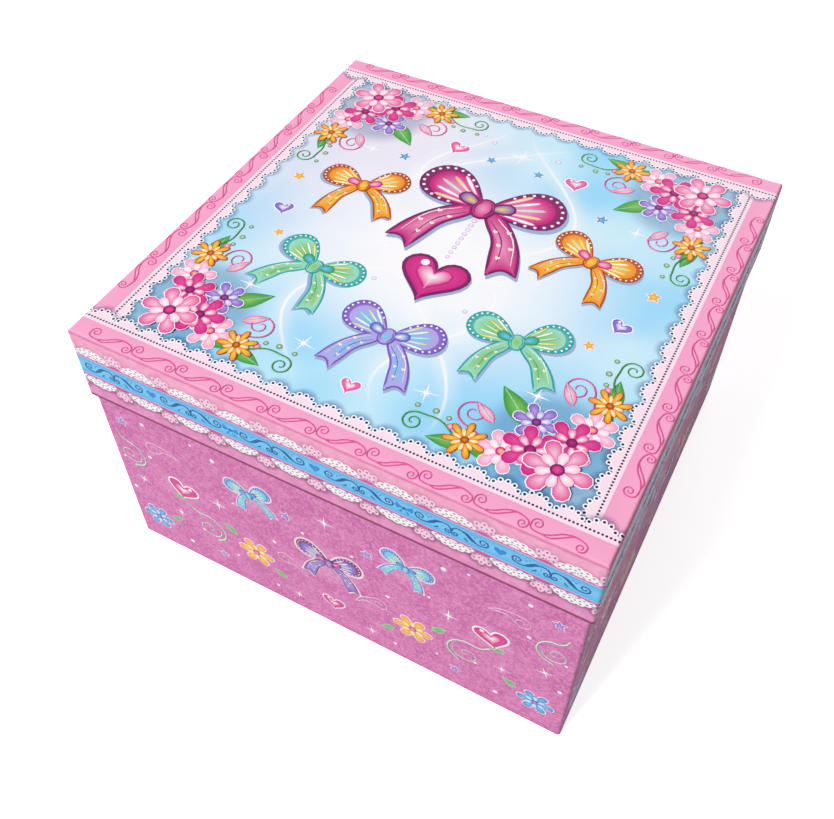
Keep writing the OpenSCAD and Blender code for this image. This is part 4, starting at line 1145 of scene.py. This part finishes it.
def floor_pads():
    """The two velvet pads on the floors of the bays."""
    low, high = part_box("floor_mat")
    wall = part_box("cross_divider")
    gap = 0.3 * MM
    velvet_pad("front_velvet_pad", low, Vector((high.x, wall[0].y - gap, high.z)), 1.0)
    velvet_pad("rear_velvet_pad", Vector((low.x, wall[1].y + gap, low.z)), high, 5.0)


# ---- dancer ----

def limb(*joints):
    """A smooth limb over joints of (x, y, z, radius), in shares of the doll's height."""
    made = add("plane", size=1)
    edit()
    ops.mesh.merge(type="CENTER")
    ops.mesh.select_all(action="SELECT")
    for before, joint in zip(joints, joints[1:]):
        step = Vector(joint[:3]) - Vector(before[:3])
        ops.mesh.extrude_region_move(TRANSFORM_OT_translate={"value": step})
    edit(False)
    moved(made, Matrix.Translation(Vector(joints[0][:3]) - made.data.vertices[0].co))
    made.modifiers.new("flesh", "SKIN")
    for held, joint in zip(made.data.skin_vertices[0].data, joints):
        held.radius = (joint[3], joint[3])
    made.modifiers.new("rounding", "SUBSURF").levels = 2
    for modifier in ("flesh", "rounding"):
        ops.object.modifier_apply(modifier=modifier)
    return made


def ball(rings):
    return add("uv_sphere", segments=rings * 2, ring_count=rings, radius=1)


def hoop(radius, thickness, segments):
    return add("torus", major_radius=radius, minor_radius=thickness, major_segments=segments,
               minor_segments=8)


def doll_head():
    """A head with a small nose and chin, looking towards the front."""
    head = ball(24)
    for vertex in head.data.vertices:
        x, y, z = vertex.co
        narrow = 1 - 0.26 * max(0.0, -z) ** 1.6
        x, y = x * narrow, y * narrow
        if y < 0:
            nose = exp(-(x * x * 60 + (z + 0.1) ** 2 * 26))
            chin = exp(-(x * x * 12 + (z + 0.86) ** 2 * 20))
            brow = exp(-(x * x * 3 + (z - 0.12) ** 2 * 40))
            y -= 0.13 * nose + 0.1 * chin - 0.03 * brow
        vertex.co = (x, y, z)
    return moved(head, shift(*HEAD_AT) @ stretch(0.046, 0.052, 0.058))


def doll_ink(face, vertex):
    """Shoes, tights, bodice or skin, by a face's place on the doll."""
    x, y, z = face.center
    if z < 0.075 or (z < 0.21 and x > 0.005 and y < -0.012):
        return ink("shoe")
    if z < 0.53:
        return ink("tights")
    if z < 0.672 + 0.014 * cos(x * 60) and abs(x) < 0.062:
        return ink("bodice")
    return ink("skin")


def doll_hair():
    """Combed hair drawn back from the brow into a bun with a band round it."""
    lean = spin(radians(-38), "X")
    cap = ball(24)
    edit()
    ops.mesh.bisect(plane_co=(0, -0.12, 0.1), plane_no=(0, -0.72, -0.69), use_fill=True,
                    clear_outer=True)
    edit(False)
    for vertex in cap.data.vertices:
        x, y, z = vertex.co
        comb = 1 + 0.018 * sin(atan2(x, z + 0.2) * 26)
        vertex.co = Vector((x * 0.0495, y * 0.056 + 0.001, z * 0.0615)) * comb
    bun = ball(16)
    for vertex in bun.data.vertices:
        x, y, z = vertex.co
        twist = 1 + 0.07 * sin(atan2(x, y) * 5 + z * 7)
        vertex.co = Vector((x * 0.027, y * 0.027, z * 0.021)) * twist
    moved(bun, shift(0, 0.036, 0.05) @ lean)
    band = moved(hoop(0.019, 0.0045, 24), shift(0, 0.026, 0.036) @ lean)
    return join([tinted(cap, "hair"), tinted(bun, "hair"), tinted(band, "bodice")])


def doll_face():
    """A plain painted doll's face: closed lashes, brows, lips and cheeks."""
    def laid(piece, x, z, size=0.0105):
        """Lays a flat shape on the face, at shares of the head's half width and half height."""
        turn = spin(x * 0.75) @ spin(-z * 0.35, "X")
        out = -0.0525 * sqrt(max(0.1, 1 - (x * 0.92) ** 2 - (z * 0.8) ** 2)) - 0.0006
        at = shift(x * 0.046, out, z * 0.058)
        moved(piece, spin(pi / 2, "X") @ stretch(1, 1, 0.2))
        parts.append(moved(piece, at @ turn @ Matrix.Scale(size, 4)))

    parts = []
    for side in (-1, 1):
        lash = [(-1, 0.25, 0.6), (-0.5, -0.12), (0, -0.25), (0.5, -0.12), (1, 0.25, 0.6)]
        brow = [(-1, -0.1, 0.5), (0, 0.28), (1, 0.0, 0.5)]
        laid(raised_line(lash, 0.34, "plum"), side * 0.36, 0.0)
        laid(raised_line(brow, 0.22, "plum"), side * 0.38, 0.24)
        laid(dot(0.8, 12, "pink", 0.1), side * 0.52, -0.28, 0.009)
    lips = [(-1, 0), (-0.4, -0.42), (0.4, -0.42), (1, 0), (0.45, 0.34), (0, 0.18), (-0.45, 0.34)]
    laid(raised_shape(lips, "pink", 0.1), 0.0, -0.46, 0.0085)
    return join(parts)


def dancer():
    """The dancer in painted plastic: one foot on the spring, the other at the knee, arms raised."""
    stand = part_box("dancer_stand")
    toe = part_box("dancer_spring")[1].z
    place = shift((stand[0].x + stand[1].x) / 2, (stand[0].y + stand[1].y) / 2, toe)
    standing_leg = limb(
        (0, 0, 0.004, 0.013), (0, 0, 0.05, 0.0135), (0, 0.004, 0.1, 0.017),
        (0, 0.008, 0.17, 0.026), (0, 0, 0.25, 0.021), (0.004, -0.002, 0.33, 0.029),
        (0.01, 0, 0.44, 0.041), (0.014, 0, 0.52, 0.044),
    )
    raised_leg = limb(
        (0.018, 0, 0.52, 0.044), (0.05, -0.014, 0.465, 0.042), (0.09, -0.034, 0.4, 0.033),
        (0.13, -0.05, 0.33, 0.022), (0.1, -0.045, 0.285, 0.025), (0.062, -0.038, 0.235, 0.016),
        (0.036, -0.032, 0.2, 0.0125), (0.014, -0.026, 0.165, 0.009),
    )
    trunk = limb(
        (0, 0, 0.5, 0.05), (0, 0.002, 0.545, 0.053), (0, 0, 0.6, 0.036), (0, -0.006, 0.66, 0.046),
        (0, -0.002, 0.7, 0.044), (0, 0, 0.725, 0.022), (0, 0, 0.765, 0.018),
    )
    right_arm = limb(
        (0.03, 0, 0.705, 0.024), (0.066, 0, 0.715, 0.02), (0.1, -0.012, 0.765, 0.0155),
        (0.13, -0.02, 0.825, 0.0135), (0.108, -0.022, 0.89, 0.0125), (0.064, -0.022, 0.945, 0.0095),
        (0.03, -0.022, 0.972, 0.0085), (0.012, -0.022, 0.978, 0.006),
    )
    left_arm = copy_at(right_arm, MIRROR)
    head, peg = doll_head(), moved(ball(6), shift(0, 0, -0.02) @ stretch(0.02, 0.02, 0.03))
    figure = join([standing_leg, raised_leg, trunk, right_arm, left_arm, head, peg])
    dye(figure, doll_ink)
    hair, face = (moved(piece, shift(*HEAD_AT)) for piece in (doll_hair(), doll_face()))
    lower_band = tinted(moved(hoop(0.056, 0.006, 36), shift(0, 0, 0.548)), "trim")
    sash = tinted(moved(hoop(0.0385, 0.0035, 36), shift(0, 0, 0.6)), "trim")
    doll = moved(join([figure, hair, face, lower_band, sash]), place @ Matrix.Scale(DOLL_HEIGHT, 4))
    ops.object.shade_smooth()
    settle(doll, "dancer_doll", PAINTED_DOLL, "dancer_set")
    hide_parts("dancer_figure")


def dancer_skirt():
    """Three layers of gathered tulle, each cut from a disc and ruffled towards its edge."""
    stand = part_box("dancer_stand")
    middle = (stand[0] + stand[1]) / 2
    low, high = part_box("dancer_tutu")
    waist = low.z + 0.55 * (high.z - low.z)
    hole, rings = 1.9 * MM, 14
    # share of the full reach, rise at the waist and at the edge in millimetres, ruffles, start
    layers = (
        (1.0, 1.3, -1.35, 15, 0.0), (0.94, 0.35, -0.3, 13, 0.8), (0.86, -0.5, 0.75, 11, 1.7),
    )
    for number, (share, inner_rise, outer_rise, ruffles, start) in enumerate(layers, 1):
        reach = (high.x - low.x) / 2 * share
        span = reach - hole
        layer = add("circle", vertices=180, radius=hole, fill_type="NOTHING")
        edit()
        for ring in range(rings):
            grow = (hole + span * (ring + 1) / rings) / (hole + span * ring / rings)
            ops.mesh.extrude_region_move()
            ops.transform.resize(value=(grow, grow, 1))
        edit(False)
        for vertex in layer.data.vertices:
            x, y, _ = vertex.co
            out = max(0.0, min(1.0, (hypot(x, y) - hole) / span))
            turn = atan2(y, x)
            wave = sin(turn * ruffles + start) + 0.35 * sin(turn * (2 * ruffles + 3) + start * 2)
            fall = inner_rise + (outer_rise - inner_rise) * out ** 1.4
            lift = fall + wave * 0.62 * out ** 1.5
            slip = 1 - 0.03 * out * (1 + cos(turn * ruffles + start))
            vertex.co = (middle.x + x * slip, middle.y + y * slip, waist + lift * MM)
        ops.object.shade_smooth()
        settle(layer, "tulle_layer_%d" % number, PINK_TULLE, "dancer_set")
        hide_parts("dancer_tutu")


def dancer_spring():
    """The close-wound spring that carries the dancer."""
    low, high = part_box("dancer_spring")
    x, y, _ = (low + high) / 2
    wire, winds = 0.3 * MM, 9
    coil = add("circle", vertices=10, radius=wire, location=((high.x - low.x) / 2 - wire, 0, 0),
               rotation=(pi / 2, 0, 0), fill_type="NOTHING")
    ops.object.transform_apply(location=True, rotation=True)
    winding = coil.modifiers.new("winding", "SCREW")
    winding.angle = 2 * pi * winds
    winding.screw_offset = high.z - low.z - 2 * wire
    winding.steps = 22 * winds
    ops.object.modifier_apply(modifier="winding")
    edit()
    ops.mesh.select_all(action="SELECT")
    ops.mesh.fill_holes(sides=0)
    ops.mesh.normals_make_consistent(inside=False)
    edit(False)
    moved(coil, shift(x, y, low.z + wire))
    ops.object.shade_smooth()
    settle(coil, "spring_coil", STEEL)
    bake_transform(coil)
    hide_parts("dancer_spring")


# ---- finishes of the frame's pieces ----

def finish_nodes():
    """Gives each piece of the frame its finish."""
    lining = lining_paper()
    finishes = {
        "print": case_print(), "lid_print": lid_print(), "lining": lining, "board": lining,
        "velvet": ROSE_VELVET, "mirror": mirror_glass(), "steel": STEEL, "doll": PAINTED_DOLL,
        "tulle": PINK_TULLE, "brass": metal("brass", (214, 172, 98), 0.28, 0.6),
        "zinc": metal("cast_zinc", (150, 152, 156), 0.42, 0.8),
        "white_plastic": plastic("white_plastic", (240, 236, 234), 0.32),
        "dark_plastic": plastic("dark_plastic", (42, 42, 46), 0.45),
    }
    for part in frame["record"]["subparts"]:
        node = frame["nodes"][part["node"]]
        node.data.materials.clear()
        node.data.materials.append(finishes[part["material_slot"]])


# ---- camera, floor and light ----

def set_camera():
    """The camera looks down on the box from over its front right."""
    scene = bpy.context.scene
    camera = bpy.data.objects.new("camera", bpy.data.cameras.new("camera"))
    scene.collection.objects.link(camera)
    camera.location = (0.0895, -0.1902, 0.2837)
    camera.rotation_euler = Vector((-0.3135, 0.591, -0.7433)).to_track_quat("-Z", "Y").to_euler()
    camera.data.lens = 42.25
    camera.data.shift_y = -0.06
    camera.data.sensor_width = 36.0
    camera.data.clip_start = 0.005
    camera.data.clip_end = 50.0
    scene.camera = camera
    scene.view_settings.view_transform = "Standard"


def set_floor():
    """A white floor that glows a little where it is seen, and keeps the box's shadow."""
    f = Finish("floor_white", 0.9, Specular_IOR_Level=0.1, Emission_Color=(1, 1, 1, 1))
    seen = f.seen()
    f.feed(seen * 0.78, f.shader["Emission Strength"])
    floor = add("plane", size=6)
    floor.name = "floor"
    floor.data.materials.append(f.dress(f.mix(seen, (0.18, 0.18, 0.18, 1), (0.82, 0.82, 0.82, 1))))


def set_world():
    """White surroundings that are dimmer as a light than where they are seen."""
    world = bpy.data.worlds.new("studio")
    bpy.context.scene.world = world
    world.use_nodes = True
    f = Formula(world.node_tree)
    ground = world.node_tree.nodes["Background"].inputs
    ground["Color"].default_value = (1, 1, 1, 1)
    strength = f.step("MapRange", {"Value": f.seen(), "To Min": 0.11, "To Max": 1.0})
    f.feed(strength, ground["Strength"])


def add_lamp(name, place, size, power):
    """A soft square lamp that faces the box."""
    data = bpy.data.lights.new(name, "AREA")
    data.size = size
    data.energy = power
    lamp = bpy.data.objects.new(name, data)
    bpy.context.scene.collection.objects.link(lamp)
    lamp.location = place
    lamp.rotation_euler = (Vector((0, 0, 0.05)) - Vector(place)).to_track_quat("-Z", "Y").to_euler()


finish_nodes()
lid_scrollwork()
ribbon_print()
lid_picture()
case_motifs()
ring_rolls()
floor_pads()
dancer()
dancer_skirt()
dancer_spring()
set_camera()
set_floor()
set_world()
add_lamp("key_lamp", (-1.05, -2.35, 2.62), 1.2, 151.0)
add_lamp("fill_lamp", (0.1, 1.9, 0.4), 1.0, 20.0)
